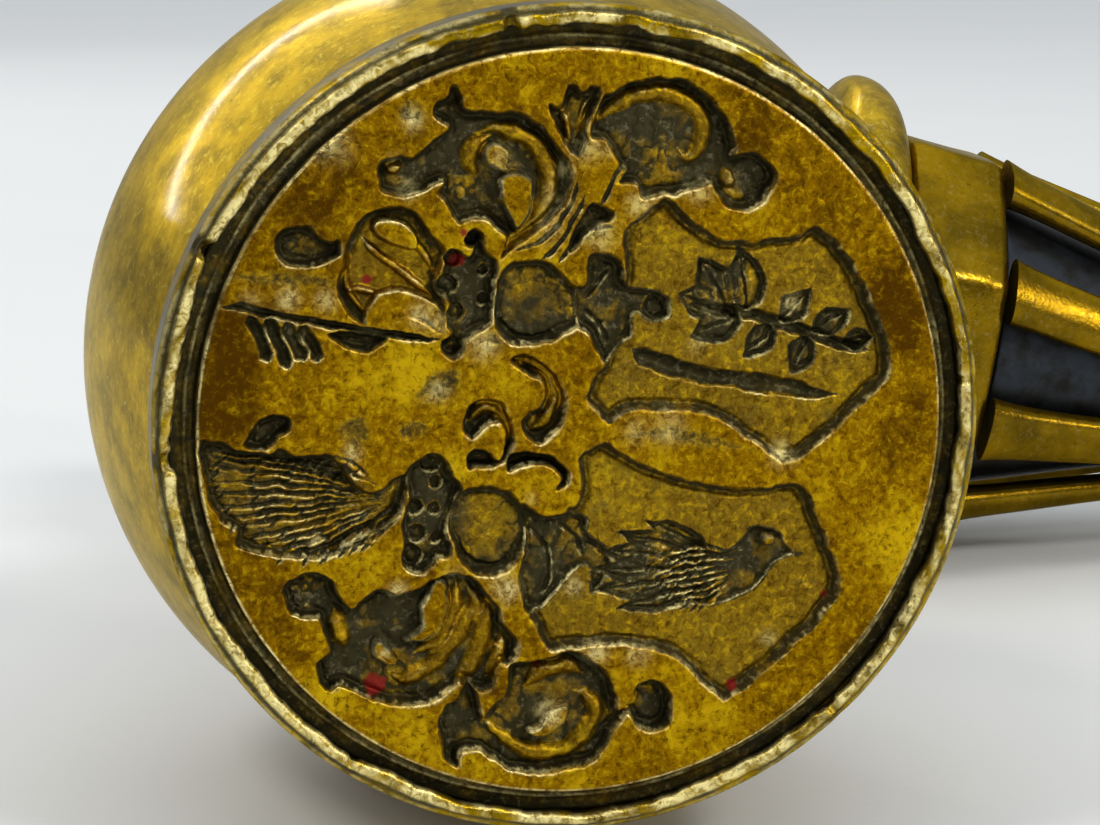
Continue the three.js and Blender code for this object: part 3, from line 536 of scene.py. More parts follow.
class SealColours(bpy.types.PropertyGroup):
    """The metals and residues that a user would recolour."""

    field: colour_property("Field brass", "Toned brass of the flat field", "#926A04")
    field_bright: colour_property("Bright brass", "Where handling keeps the field bright", "#D2AC10")
    field_brown: colour_property("Brown tarnish", "Patches of brown tarnish on the field", "#4E3003")
    cut_floor: colour_property("Cut floors", "Olive film on the engraving's floors", "#826A1E")
    deep_floor: colour_property("Deep floors", "Grey-green film in the figures and scrolls", "#2A2619")
    dust: colour_property("Dust", "Pale dust on the rough places of the deep floors", "#8C8264")
    grime: colour_property("Grime", "Dark residue in the cuts", "#1B180C")
    # The rubbed brass also colours the painted highlights on the cut edges and the rim's crest.
    rubbed: colour_property("Rubbed brass", "Pale brass where edges are worn", "#F4E49C")
    wax: colour_property("Wax", "Sealing wax left in a few cuts", "#7E1016")
    turned: colour_property("Turned brass", "Polished brass of the turnings", "#B89608")
    turned_shade: colour_property("Turned brass, toned", "Toned patches on the turnings", "#5E4A0A")
    cast: colour_property("Cast brass", "Brass of the handle's castings", "#8A6C0C")
    iron: colour_property("Blued iron", "Blue-grey oxide on the core", "#30343A")
    steel: colour_property("Steel", "Bare steel of the pin and fixings", "#8D9094")
    floor: colour_property("Table", "Pale table that the seal lies on", "#DADBDA")
    floor_shade: colour_property("Table, shaded", "Faint unevenness of the table", "#CFD1D2")


def add_node(tree, kind, sockets=None, **settings):
    """Adds one node with its settings. Sockets are set, or linked where the value is a socket."""
    node = tree.nodes.new(kind)
    for name, value in settings.items():
        setattr(node, name, value)
    for name, value in (sockets or {}).items():
        if isinstance(value, bpy.types.NodeSocket):
            tree.links.new(value, node.inputs[name])
        else:
            node.inputs[name].default_value = value
    return node


# Brass keeps its yellow at a grazing angle.
BRASS_EDGE = "#E2D488"


def new_material(name, tint):
    """An empty node material with its output, and the same tint in solid view."""
    material = bpy.data.materials.new(name)
    material.use_nodes = True
    material.diffuse_color = tint
    material.node_tree.nodes.clear()
    return material, material.node_tree


def per_mm(size):
    """A texture's scale for features of this size in millimetres, on coordinates in metres."""
    return 1 / (size * MM)


def finish_surface(
    tree, colour, layers, metallic, roughness, height, bump_mm, edge_tint="#FFFFFF", coat=0.0
):
    """The colour under its layers of tarnish, dirt, wear and painted highlight, with the shader, bump and
    output.
    """
    for amount, tint in layers:
        mix = add_node(tree, "ShaderNodeMix", {0: amount, 6: colour, 7: tint}, data_type="RGBA")
        colour = mix.outputs[2]
    bump = add_node(tree, "ShaderNodeBump", {"Height": height, "Distance": bump_mm * MM})
    shader = add_node(
        tree, "ShaderNodeBsdfPrincipled",
        {
            "Base Color": colour, "Metallic": metallic, "Roughness": roughness,
            "Normal": bump.outputs["Normal"], "Specular Tint": linear(edge_tint),
            "Coat Weight": coat, "Coat Roughness": 0.1,
        },
    )
    add_node(tree, "ShaderNodeOutputMaterial", {"Surface": shader.outputs["BSDF"]})


def engraved_brass():
    """Hand-engraved brass with a century of tarnish: a mottled mustard-gold field with brown
    clouds, olive and near-black floors, and pale lines on the cuts' edges that are partly rubbed
    wear and partly painted highlight."""
    colours = bpy.context.scene.seal_colours
    material, tree = new_material("engraved_brass_tarnished", colours.field)
    place = add_node(tree, "ShaderNodeTexCoord").outputs["Object"]
    # The worn mark holds rubbed wear and the painted highlights on the cuts' edges.
    cut, grime, worn, wax, toning = (
        add_node(tree, "ShaderNodeAttribute", attribute_name=mark).outputs["Fac"]
        for mark in ("cut", "grime", "worn", "wax", "toning")
    )
    # Fingered patches of tarnish of 0.8 mm, leafy flecks of 0.25 mm and broad clouds of 4 mm
    patches, grain, clouds = (
        add_node(
            tree, "ShaderNodeTexNoise",
            {
                "Vector": place, "Scale": per_mm(size), "Detail": detail, "Roughness": roughness,
                "Distortion": distortion,
            },
        ).outputs["Fac"]
        for size, detail, roughness, distortion in (
            (0.8, 6.0, 0.68, 0.6), (0.25, 6.0, 0.74, 0.55), (4.0, 4.0, 0.6, 0.4)
        )
    )
    drift = add_node(
        tree, "ShaderNodeMath", {0: clouds, 1: 2.4, 2: toning}, operation="MULTIPLY_ADD"
    ).outputs[0]
    tone = add_node(
        tree, "ShaderNodeMath", {0: patches, 1: 3.4, 2: drift}, operation="MULTIPLY_ADD"
    ).outputs[0]
    brown = add_node(
        tree, "ShaderNodeMapRange", {"Value": tone, "From Min": 2.85, "From Max": 1.9, "To Max": 0.95}
    ).outputs["Result"]
    bright = add_node(
        tree, "ShaderNodeMapRange", {"Value": tone, "From Min": 3.0, "From Max": 3.9, "To Max": 0.95}
    ).outputs["Result"]
    dark_fleck = add_node(
        tree, "ShaderNodeMapRange", {"Value": grain, "From Min": 0.48, "From Max": 0.36, "To Max": 0.85}
    ).outputs["Result"]
    lit = add_node(
        tree, "ShaderNodeMapRange", {"Value": grain, "From Min": 0.52, "From Max": 0.66}
    ).outputs["Result"]
    unstained = add_node(
        tree, "ShaderNodeMapRange", {"Value": brown, "To Min": 0.85, "To Max": 0.15}
    ).outputs["Result"]
    light_fleck = add_node(tree, "ShaderNodeMath", {0: lit, 1: unstained}, operation="MULTIPLY").outputs[0]
    floor_film = add_node(
        tree, "ShaderNodeMapRange", {"Value": cut, "From Min": 0.02, "From Max": 0.4, "To Max": 0.64}
    ).outputs["Result"]
    cut_tone = add_node(
        tree, "ShaderNodeMath", {0: patches, 1: 0.9, 2: cut}, operation="MULTIPLY_ADD"
    ).outputs[0]
    deep_film = add_node(
        tree, "ShaderNodeMapRange", {"Value": cut_tone, "From Min": 0.98, "From Max": 1.36}
    ).outputs["Result"]
    packed = add_node(
        tree, "ShaderNodeMath", {0: grain, 1: -0.9, 2: grime}, operation="MULTIPLY_ADD"
    ).outputs[0]
    dirty = add_node(
        tree, "ShaderNodeMapRange", {"Value": packed, "From Min": -0.15, "From Max": 0.25, "To Max": 0.94}
    ).outputs["Result"]
    spread = add_node(
        tree, "ShaderNodeMapRange", {"Value": grain, "From Min": 0.42, "From Max": 0.54, "To Min": 0.15}
    ).outputs["Result"]
    rubbed = add_node(tree, "ShaderNodeMath", {0: worn, 1: spread}, operation="MULTIPLY").outputs[0]
    film = add_node(tree, "ShaderNodeMath", {0: dirty, 1: deep_film}, operation="MAXIMUM").outputs[0]
    dusty = add_node(
        tree, "ShaderNodeMapRange", {"Value": grain, "From Min": 0.55, "From Max": 0.66, "To Max": 0.42}
    ).outputs["Result"]
    dust = add_node(tree, "ShaderNodeMath", {0: dusty, 1: film}, operation="MULTIPLY").outputs[0]
    layers = [
        (bright, colours.field_bright),
        (brown, colours.field_brown),
        (floor_film, colours.cut_floor),
        (dark_fleck, colours.field_brown),
        (light_fleck, colours.field_bright),
        (deep_film, colours.deep_floor),
        (dirty, colours.grime),
        (dust, colours.dust),
        (rubbed, colours.rubbed),
        (wax, colours.wax),
    ]
    residue = add_node(tree, "ShaderNodeMath", {0: film, 1: wax}, operation="MAXIMUM").outputs[0]
    metallic = add_node(
        tree, "ShaderNodeMapRange", {"Value": residue, "To Min": 0.95, "To Max": 0.2}
    ).outputs["Result"]
    roughness = add_node(
        tree, "ShaderNodeMapRange", {"Value": residue, "To Min": 0.38, "To Max": 0.5}
    ).outputs["Result"]
    finish_surface(
        tree, colours.field, layers, metallic, roughness, grain, bump_mm=0.03, edge_tint=BRASS_EDGE
    )
    return material


def worn_brass(name, tint, shade, patch_mm, line_mm, roughness, bump_mm, toned, flecked, coat=0.0):
    """Brass with toned patches, small pits, dirt in its creases and pale rubbed edges, which on the
    rim's crest are also painted highlight. toned and flecked say how far its patches and its pale
    flecks cover it."""
    colours = bpy.context.scene.seal_colours
    material, tree = new_material(name, tint)
    place = add_node(tree, "ShaderNodeTexCoord").outputs["Object"]
    # On the rim the worn mark also holds the crest's painted highlight.
    grime, worn = (
        add_node(tree, "ShaderNodeAttribute", attribute_name=mark).outputs["Fac"]
        for mark in ("grime", "worn")
    )
    clouds = add_node(
        tree, "ShaderNodeTexNoise",
        {"Vector": place, "Scale": per_mm(patch_mm), "Detail": 5.0, "Roughness": 0.64},
    ).outputs["Fac"]
    # Pits and stains of 0.32 mm
    pits = add_node(
        tree, "ShaderNodeTexNoise",
        {"Vector": place, "Scale": per_mm(0.32), "Detail": 4.0, "Roughness": 0.66, "Distortion": 0.8},
    ).outputs["Fac"]
    # Tool marks of about 0.02 mm, drawn coarser so that they show
    lines = add_node(
        tree, "ShaderNodeTexNoise", {"Vector": place, "Scale": per_mm(line_mm), "Detail": 3.0}
    ).outputs["Fac"]
    toning = add_node(
        tree, "ShaderNodeMapRange", {"Value": clouds, "From Min": 0.62, "From Max": 0.36, "To Max": toned}
    ).outputs["Result"]
    stains = add_node(
        tree, "ShaderNodeMapRange", {"Value": pits, "From Min": 0.40, "From Max": 0.28, "To Max": 0.55}
    ).outputs["Result"]
    packed = add_node(
        tree, "ShaderNodeMath", {0: pits, 1: 0.8, 2: grime}, operation="MULTIPLY_ADD"
    ).outputs[0]
    dirty = add_node(
        tree, "ShaderNodeMapRange", {"Value": packed, "From Min": 0.62, "From Max": 1.2, "To Max": 0.94}
    ).outputs["Result"]
    spread = add_node(
        tree, "ShaderNodeMapRange", {"Value": pits, "From Min": 0.38, "From Max": 0.56, "To Min": 0.15}
    ).outputs["Result"]
    rubbed = add_node(tree, "ShaderNodeMath", {0: worn, 1: spread}, operation="MULTIPLY").outputs[0]
    flecks = add_node(
        tree, "ShaderNodeMapRange", {"Value": pits, "From Min": 0.54, "From Max": 0.7, "To Max": flecked}
    ).outputs["Result"]
    layers = [
        (toning, shade), (stains, colours.grime), (flecks, colours.rubbed), (dirty, colours.grime),
        (rubbed, colours.rubbed),
    ]
    dull = add_node(tree, "ShaderNodeMath", {0: dirty, 1: rubbed}, operation="MAXIMUM").outputs[0]
    metallic = add_node(
        tree, "ShaderNodeMapRange", {"Value": dull, "To Min": 0.92, "To Max": 0.2}
    ).outputs["Result"]
    gloss = add_node(
        tree, "ShaderNodeMapRange",
        {"Value": clouds, "To Min": roughness * 1.2, "To Max": roughness * 0.8},
    ).outputs["Result"]
    height = add_node(tree, "ShaderNodeMath", {0: pits, 1: lines}, operation="ADD").outputs[0]
    finish_surface(tree, tint, layers, metallic, gloss, height, bump_mm, BRASS_EDGE, coat)
    return material


def plain_metal(name, tint, grain_mm, roughness):
    """Steel or blued iron: an even tone broken by a fine, slightly streaky grain."""
    colours = bpy.context.scene.seal_colours
    material, tree = new_material(name, tint)
    place = add_node(tree, "ShaderNodeTexCoord").outputs["Object"]
    grain = add_node(
        tree, "ShaderNodeTexNoise",
        {"Vector": place, "Scale": per_mm(grain_mm), "Detail": 5.0, "Roughness": 0.6},
    ).outputs["Fac"]
    stains = add_node(
        tree, "ShaderNodeMapRange", {"Value": grain, "From Min": 0.6, "From Max": 0.35, "To Max": 0.8}
    ).outputs["Result"]
    finish_surface(
        tree, tint, [(stains, colours.grime)], metallic=0.9, roughness=roughness, height=grain,
        bump_mm=0.02,
    )
    return material


made_finishes = {}


def finish(slot):
    """The material of one of the record's slots, made when it is first asked for."""
    colours = bpy.context.scene.seal_colours
    gold, shade, cast = colours.turned, colours.turned_shade, colours.cast
    makers = {
        "engraved_brass": engraved_brass,
        # Rubbed over by hand: pale on its crest from wear and painted highlight, brown and pitted beside it
        "rim_brass": lambda: worn_brass(
            "rim_brass_rubbed_over", gold, shade, patch_mm=1.3, line_mm=0.1, roughness=0.34,
            bump_mm=0.02, toned=1.0, flecked=0.4,
        ),
        # Turned, polished and lacquered: mottled, with a thin white glint over a soft sheen
        "turned_brass": lambda: worn_brass(
            "turned_brass_lacquered", gold, shade, patch_mm=1.6, line_mm=0.2, roughness=0.3,
            bump_mm=0.008, toned=0.8, flecked=0.35, coat=0.18,
        ),
        # Cast and filed: a duller sheen that breaks at soft edges
        "cast_brass": lambda: worn_brass(
            "cast_brass_filed", cast, shade, patch_mm=3.0, line_mm=0.16, roughness=0.26,
            bump_mm=0.012, toned=1.0, flecked=0.08,
        ),
        # Forged and blued: slate grey with a soft sheen
        "black_iron": lambda: plain_metal("iron_forged_blued", colours.iron, grain_mm=1.2, roughness=0.42),
        # Turned and left bare: grey, seen only at the pin's heads
        "steel": lambda: plain_metal("steel_turned_bare", colours.steel, grain_mm=0.5, roughness=0.38),
    }
    if slot not in made_finishes:
        made_finishes[slot] = makers[slot]()
    return made_finishes[slot]


def make_mesh(name, points, faces):
    """A mesh from an array of points and arrays of faces with one corner count each."""
    corners = np.concatenate([part.ravel() for part in faces])
    sizes = np.concatenate([np.full(len(part), part.shape[1]) for part in faces])
    mesh = bpy.data.meshes.new(name)
    mesh.vertices.add(len(points))
    mesh.vertices.foreach_set("co", np.asarray(points, np.float32).ravel())
    mesh.loops.add(len(corners))
    mesh.loops.foreach_set("vertex_index", corners.astype(np.int32))
    mesh.polygons.add(len(sizes))
    starts = np.concatenate([[0], np.cumsum(sizes)[:-1]])
    mesh.polygons.foreach_set("loop_start", starts.astype(np.int32))
    mesh.update(calc_edges=True)
    return mesh


def add_object(name, data):
    """An object with this data, in the scene."""
    made = bpy.data.objects.new(name, data)
    bpy.context.scene.collection.objects.link(made)
    return made


def add_piece(name, points, faces, place, slot, body, nodes, sharp_degrees=180, attributes=None):
    """A closed mesh in millimetres, put in its place, facing out, finished and on its body."""
    mesh = make_mesh(name, np.asarray(points) * MM, faces)
    for key, values in (attributes or {}).items():
        mesh.attributes.new(key, "FLOAT", "POINT").data.foreach_set("value", values.astype(np.float32))
    mesh.transform(place)
    shaper = bmesh.new()
    shaper.from_mesh(mesh)
    bmesh.ops.recalc_face_normals(shaper, faces=shaper.faces)
    shaper.to_mesh(mesh)
    shaper.free()
    mesh.shade_smooth()
    if sharp_degrees < 180:
        mesh.set_sharp_from_angle(angle=math.radians(sharp_degrees))
    piece = add_object(name, mesh)
    mesh.materials.append(finish(slot))
    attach(piece, body)
    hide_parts(*nodes)
    return piece


# Bends flatter than this cosine aren't rounded, and a rounding takes at most this share of a side.
FLAT_COSINE = -0.94
FILLET_SHARE = 0.45
FILLET_POINTS = 5
TINY = 1e-6


def softened(profile, fillet, closed=False):
    """The profile with its corners rounded by short curves of about this length."""
    count = len(profile)
    points = [np.array(point, float) for point in profile]
    rounded = []
    for i, corner in enumerate(points):
        if not closed and i in (0, count - 1):
            rounded.append(corner)
            continue
        before = points[i - 1] - corner
        after = points[(i + 1) % count] - corner
        reach = [np.linalg.norm(before), np.linalg.norm(after)]
        if min(reach) < TINY:
            continue
        turn = np.dot(before, after) / (reach[0] * reach[1])
        if turn < FLAT_COSINE:
            rounded.append(corner)
            continue
        start = corner + before / reach[0] * min(fillet, reach[0] * FILLET_SHARE)
        end = corner + after / reach[1] * min(fillet, reach[1] * FILLET_SHARE)
        for t in np.linspace(0, 1, FILLET_POINTS):
            rounded.append(start * (1 - t) ** 2 + corner * 2 * t * (1 - t) + end * t**2)
    return rounded


def ellipse_arc(centre, radii, start_degrees, end_degrees, steps=14):
    """Points along part of an ellipse, from 0 degrees at its right."""
    angles = np.radians(np.linspace(start_degrees, end_degrees, steps + 1))
    return [(centre[0] + radii[0] * math.cos(a), centre[1] + radii[1] * math.sin(a)) for a in angles]


def bead(hole, start, end, foot, radius, steps=14):
    """The section of a ring round a hole that swells from its foot to this radius."""
    half = (end - start) / 2
    swell = ellipse_arc((foot, start + half), (radius - foot, half), -90, 90, steps)
    return [(hole, start)] + swell + [(hole, end)]


def turned_faces(rings, sides):
    """Faces between rings of vertices. A ring of one vertex is a point on the axis."""
    quads = []
    triangles = []
    around = np.arange(sides)
    onward = (around + 1) % sides
    for first, second in zip(rings, rings[1:]):
        if len(first) == 1:
            triangles.append(np.stack([np.full(sides, first[0]), second[onward], second[around]], 1))
        elif len(second) == 1:
            triangles.append(np.stack([first[around], first[onward], np.full(sides, second[0])], 1))
        else:
            quads.append(np.stack([first[around], first[onward], second[onward], second[around]], 1))
    return [np.concatenate(group) for group in (quads, triangles) if group]


def wobble(angle, along, seed):
    """A slow unevenness between -1 and 1, for hand-turned and handled metal."""
    chance = np.random.default_rng(seed)
    total = np.zeros(np.broadcast(angle, along).shape)
    for _ in range(6):
        waves = chance.integers(1, 6)
        pitch = chance.uniform(0.2, 1.1)
        total = total + np.sin(waves * angle + pitch * along + chance.uniform(0, 2 * math.pi))
    return total / 6


def add_turning(
    name, profile, place, slot, body, nodes, closed=True, sides=160, fillet=0.25, uneven=0.02, seed=1
):
    """A turning about Y from (radius, along) points, with soft corners and a little wear."""
    outline = softened(profile, fillet, closed)
    if closed:
        outline = outline + [outline[0]]
    angle = np.arange(sides) * 2 * math.pi / sides
    points = []
    rings = []
    for i, (radius, along) in enumerate(outline):
        if closed and i == len(outline) - 1:
            rings.append(rings[0])
            continue
        start = len(points)
        if radius < TINY:
            points.append((0.0, along, 0.0))
            rings.append(np.array([start]))
            continue
        worn = radius + uneven * wobble(angle, along, seed)
        for r, a in zip(worn, angle):
            points.append((r * math.cos(a), along, r * math.sin(a)))
        rings.append(start + np.arange(sides))
    faces = turned_faces(rings, sides)
    return add_piece(name, points, faces, place, slot, body, nodes, sharp_degrees=50)


def spline(points, closed, steps=6):
    """A smooth curve through given points."""
    p = np.array(points, float)
    if closed:
        p = np.concatenate([p[-1:], p, p[:2]])
    else:
        p = np.concatenate([2 * p[:1] - p[1:2], p, 2 * p[-1:] - p[-2:-1]])
    t = (np.arange(steps) / steps)[:, None]
    pieces = []
    for a, b, c, d in zip(p, p[1:], p[2:], p[3:]):
        square = 2 * a - 5 * b + 4 * c - d
        cube = 3 * b - a - 3 * c + d
        pieces.append(0.5 * (2 * b + (c - a) * t + square * t**2 + cube * t**3))
    path = np.concatenate(pieces)
    return np.concatenate([path, path[:1] if closed else p[-2:-1]])


def smooth_step(value, start, end):
    """0 before start, 1 after end, and a soft rise between them."""
    t = np.clip((value - start) / (end - start), 0, 1)
    return t * t * (3 - 2 * t)


def blurred(field, cells):
    """The grid's values, spread by a bell curve of this many cells."""
    reach = int(3 * cells)
    weights = np.exp(-0.5 * (np.arange(-reach, reach + 1) / cells) ** 2)
    weights /= weights.sum()
    padded = np.pad(field, reach, mode="edge")
    rows = np.apply_along_axis(lambda line: np.convolve(line, weights, "valid"), 0, padded)
    return np.apply_along_axis(lambda line: np.convolve(line, weights, "valid"), 1, rows)


# The table of random values behind the noise, and where the face's middle is in it. Every call
# gives its own seed, so each run draws the same.
NOISE_CELLS = 128
NOISE_MIDDLE = 40.0


def cloudy(u, v, size, seed, octaves=3):
    """Smooth noise between about -1 and 1 with features of this size in millimetres."""
    total = np.zeros(u.shape)
    weight = 1.0
    for octave in range(octaves):
        chance = np.random.default_rng(seed + octave)
        table = chance.uniform(-1, 1, (NOISE_CELLS, NOISE_CELLS))
        x = u / size + NOISE_MIDDLE
        y = v / size + NOISE_MIDDLE
        i = np.floor(x).astype(int)
        j = np.floor(y).astype(int)
        s = smooth_step(x - i, 0, 1)
        t = smooth_step(y - j, 0, 1)
        i0, i1 = i % NOISE_CELLS, (i + 1) % NOISE_CELLS
        j0, j1 = j % NOISE_CELLS, (j + 1) % NOISE_CELLS
        low = table[i0, j0] * (1 - s) + table[i1, j0] * s
        high = table[i0, j1] * (1 - s) + table[i1, j1] * s
        total += weight * (low * (1 - t) + high * t)
        weight *= 0.5
        size *= 0.5
    return total / 1.6


class Engraving:
    """The relief of the engraving, over a square grid that is bent to fill the round field.

    depth is in millimetres below the field. cut is 0 on the field, about a half on a shield's
    floor and 1 on a figure's. dirt is the dark residue along walls and in strokes. Lengths in
    its functions are in millimetres."""

    NEAR = 0.4

    def __init__(self, radius, steps):
        line = np.linspace(-1, 1, steps + 1)
        x, y = np.meshgrid(line, line)
        self.radius = radius
        self.cell = 2 * radius / steps
        self.u = x * np.sqrt(1 - y * y / 2) * radius
        self.v = y * np.sqrt(1 - x * x / 2) * radius
        # A hand-held graver never quite follows its line.
        self.held_u = self.u + 0.1 * cloudy(self.u, self.v, 0.55, seed=51)
        self.held_v = self.v + 0.1 * cloudy(self.u, self.v, 0.55, seed=61)
        self.depth = np.zeros(x.shape)
        self.cut = np.zeros(x.shape)
        self.dirt = np.zeros(x.shape)

    def near(self, path, margin):
        """The grid's places in the path's box and a margin."""
        low = path.min(0) - margin
        high = path.max(0) + margin
        return np.nonzero(
            (self.u > low[0]) & (self.u < high[0]) & (self.v > low[1]) & (self.v < high[1])
        )

    def path(self, shares, closed, steps=6):
        """A smooth curve in millimetres through points in shares."""
        return spline(shares, closed, steps) * self.radius / 100

    def distance(self, path, spots):
        """Distance to the path, share of the way along it, and whether a place is inside it."""
        u = self.held_u[spots]
        v = self.held_v[spots]
        nearest = np.full(u.shape, 1e9)
        along = np.zeros(u.shape)
        inside = np.zeros(u.shape, bool)
        count = len(path) - 1
        for k in range(count):
            (au, av), (bu, bv) = path[k], path[k + 1]
            du, dv = bu - au, bv - av
            length = du * du + dv * dv
            if length < 1e-12:
                continue
            t = np.clip(((u - au) * du + (v - av) * dv) / length, 0, 1)
            gap = np.hypot(u - au - t * du, v - av - t * dv)
            closer = gap < nearest
            nearest = np.where(closer, gap, nearest)
            along = np.where(closer, (k + t) / count, along)
            crosses = (av > v) != (bv > v)
            if dv != 0:
                inside ^= crosses & (u < du * (v - av) / dv + au)
        return nearest, along, inside

    def pit(self, path, depth, floor=1.0, bowl=0.0, reach=1.0, wall=0.2, dirt=1.0, pale=0.0):
        """Cuts an area to its depth, with sloped walls, dirt along them and a burr round it. bowl
        hollows its middle, over this reach from the wall, and pale paints its film lighter towards
        the middle as a painted highlight."""
        spots = self.near(path, self.NEAR)
        gap, _, inside = self.distance(path, spots)
        # The graver dug a little deeper along the wall's foot.
        foot = 0.1 * np.exp(-(((gap - wall * 1.05) / 0.12) ** 2))
        deep = depth * smooth_step(gap, 0, wall) + foot
        deep += bowl * np.sqrt(np.clip(1 - (1 - np.clip(gap / reach, 0, 1)) ** 2, 0, 1))
        lip = 0.02 * np.clip(1 - gap / 0.09, 0, 1) ** 2
        self.depth[spots] = np.maximum(self.depth[spots], np.where(inside, deep + 0.02, lip))
        # Painted highlight: pale makes the floor's film lighter away from the wall.
        film = (floor - pale * smooth_step(gap, 0.3, 1.1)) * smooth_step(gap, 0, 0.09)
        self.cut[spots] = np.where(inside, np.maximum(self.cut[spots] * 0.5, film), self.cut[spots])
        uneven = 0.8 + 0.5 * cloudy(self.u[spots], self.v[spots], 0.6, seed=71)
        along_wall = dirt * uneven * np.exp(-(((gap - 0.13) / 0.13) ** 2)) * inside
        self.dirt[spots] = np.maximum(self.dirt[spots], along_wall)

    def isle(self, path, top=0.06):
        """Leaves an area standing inside a cut."""
        spots = self.near(path, self.NEAR)
        gap, _, inside = self.distance(path, spots)
        limit = np.where(inside, top, top + 0.9 * smooth_step(gap, 0, 0.22))
        self.depth[spots] = np.minimum(self.depth[spots], limit)
        left = np.where(inside, 1 - smooth_step(gap, 0, 0.08), 1)
        self.cut[spots] *= left
        self.dirt[spots] *= left

    def stroke(self, path, half_width, depth, taper=0.25, dirt=0.8):
        """A graver's stroke: a groove where depth is above zero, or a ridge where it is below."""
        spots = self.near(path, half_width + 0.1)
        gap, along, _ = self.distance(path, spots)
        ends = np.clip(np.minimum(along, 1 - along) / taper, 0.05, 1) ** 0.7
        section = np.clip(1 - (gap / (half_width * ends)) ** 2, 0, 1)
        self.depth[spots] = np.maximum(
            self.depth[spots] + depth * section * ends, np.minimum(self.depth[spots], 0.06)
        )
        if depth > 0:
            self.cut[spots] = np.maximum(self.cut[spots], np.clip(section * 2, 0, 1))
            self.dirt[spots] = np.maximum(self.dirt[spots], dirt * np.clip(section * 1.4, 0, 1))
        else:
            crest = np.clip(section * 1.8, 0, 1)
            self.cut[spots] *= 1 - 0.7 * crest
            self.dirt[spots] *= 1 - 0.9 * crest

    def dent(self, path, depth=0.11):
        """A shallow smooth bruise in the flat field."""
        spots = self.near(path, 0.3)
        gap, _, inside = self.distance(path, spots)
        self.depth[spots] += np.where(inside, depth * smooth_step(gap, 0, 0.7), 0)
        settled = np.where(inside, smooth_step(gap, 0, 0.3), 0)
        self.cut[spots] = np.maximum(self.cut[spots], 0.42 * settled)
        self.dirt[spots] = np.maximum(self.dirt[spots], 0.42 * settled)

    def leaf(self, tip_from, tip_to, fullness, depth, floor):
        """A pointed leaf or feather cut in two sweeps, with a groove along its middle."""
        start = np.array(tip_from) * self.radius / 100
        end = np.array(tip_to) * self.radius / 100
        across = np.array([start[1] - end[1], end[0] - start[0]]) * fullness
        shares = np.linspace(0, 1, 13)
        swell = np.sin(math.pi * shares**0.8)
        side = [start + (end - start) * t + across * s for t, s in zip(shares, swell)]
        other = [start + (end - start) * t - across * s for t, s in zip(shares, swell)]
        self.pit(np.array(side + other[::-1]), depth, floor, bowl=0.15, reach=0.4, wall=0.14)
        self.stroke(np.array([start, start * 0.15 + end * 0.85]), 0.08, 0.12)

    def patches(self, table):
        """The sum of soft round patches of (across, up, radius in mm, amount)."""
        total = np.zeros(self.u.shape)
        for across, up, radius, amount in table:
            gap = np.hypot(self.u - across * self.radius / 100, self.v - up * self.radius / 100)
            total += amount * np.exp(-((gap / radius) ** 2))
        return total


def feather_fan(face, roots, tips, count):
    """Fine strokes that fan out from between two roots to a line of tips, with short barbs."""
    first, last = np.array(roots, float)
    ends = spline(tips, False, 8)
    for k in range(count):
        share = (k + 0.5) / count
        root = first + (last - first) * share
        tip = ends[int(share * (len(ends) - 1))]
        middle = (root + tip) / 2 + np.array([0.0, 2.5 - 5 * share])
        start = root + (tip - root) * (0.12 + 0.1 * math.sin(k * 2.4))
        path = spline([start, middle, tip], False, 5) * face.radius / 100
        face.stroke(path, 0.1, 0.1, taper=0.3, dirt=0.5)
        face.stroke(path + np.array([0.03, -0.13]), 0.08, -0.07, taper=0.4)
        # Barbs lean across the feather.
        for t in (0.3, 0.5, 0.7, 0.9):
            place = path[int(t * (len(path) - 1))]
            lean = np.array([-0.42, -0.4 - 0.1 * math.sin(5 * k + 9 * t)])
            face.stroke(np.array([place, place + lean]), 0.07, 0.07, taper=0.4, dirt=0.45)


def engrave_face(sizes):
    """The face's engraving, cut feature by feature over the whole field."""
    face = Engraving(sizes.field_radius / MM, FACE_STEPS)
    shield = sizes.shield_depth / MM
    figure = sizes.figure_depth / MM
    scroll = sizes.scroll_depth / MM
    for shares in DENT_SHARES:
        face.dent(face.path(shares, True))
    for name, shares in PIT_SHARES.items():
        path = face.path(shares, True)
        if "shield" in name:
            face.pit(path, shield, 0.5, wall=0.26)
        elif "scroll" in name or "crown" in name:
            face.pit(path, scroll * 0.75, bowl=scroll * 0.3, reach=0.8)
        else:
            face.pit(path, figure * 0.6, FLOOR_TONES.get(name, 0.92), bowl=figure * 0.3)
    for name, shares in BOWL_SHARES.items():
        tone = FLOOR_TONES.get(name, 0.98)
        path = face.path(shares, True)
        # Bowls get a painted highlight in their middles.
        face.pit(path, figure * 0.4, tone, bowl=figure * 0.5, reach=1.3, pale=0.14)
    for leaves, tone in ((SPRIG_SHARES, 0.9), (BIRD_SHARES, 0.85)):
        for tip_from, tip_to, fullness in leaves:
            face.leaf(tip_from, tip_to, fullness, figure * 0.7, tone)
    turns = np.linspace(0, 2 * math.pi, 15)
    for across, up, radius in BEAD_SHARES:
        middle = np.array([across, up]) * face.radius / 100
        ring = [middle + radius * np.array([math.cos(a), math.sin(a)]) for a in turns]
        face.pit(np.array(ring), figure * 0.8, bowl=figure * 0.3, reach=0.4, wall=0.12)
    for shares in ISLE_SHARES.values():
        face.isle(face.path(shares, True))
    for name, shares in RIDGE_SHARES.items():
        half_width, rise = (0.35, -0.3) if "rib" in name else (0.15, -0.2)
        face.stroke(face.path(shares, False, 8), half_width, rise)
    feather_fan(face, WING_ROOT_SHARES, WING_TIP_SHARES, 19)
    feather_fan(face, BIRD_ROOT_SHARES, BIRD_TIP_SHARES, 9)
    for name, shares in LINE_SHARES.items():
        half_width, depth, dirt = LINE_CUTS.get(name.rstrip("0123456789"), (0.1, 0.12, 0.7))
        face.stroke(face.path(shares, False, 8), half_width, depth, taper=0.12, dirt=dirt)
    return face


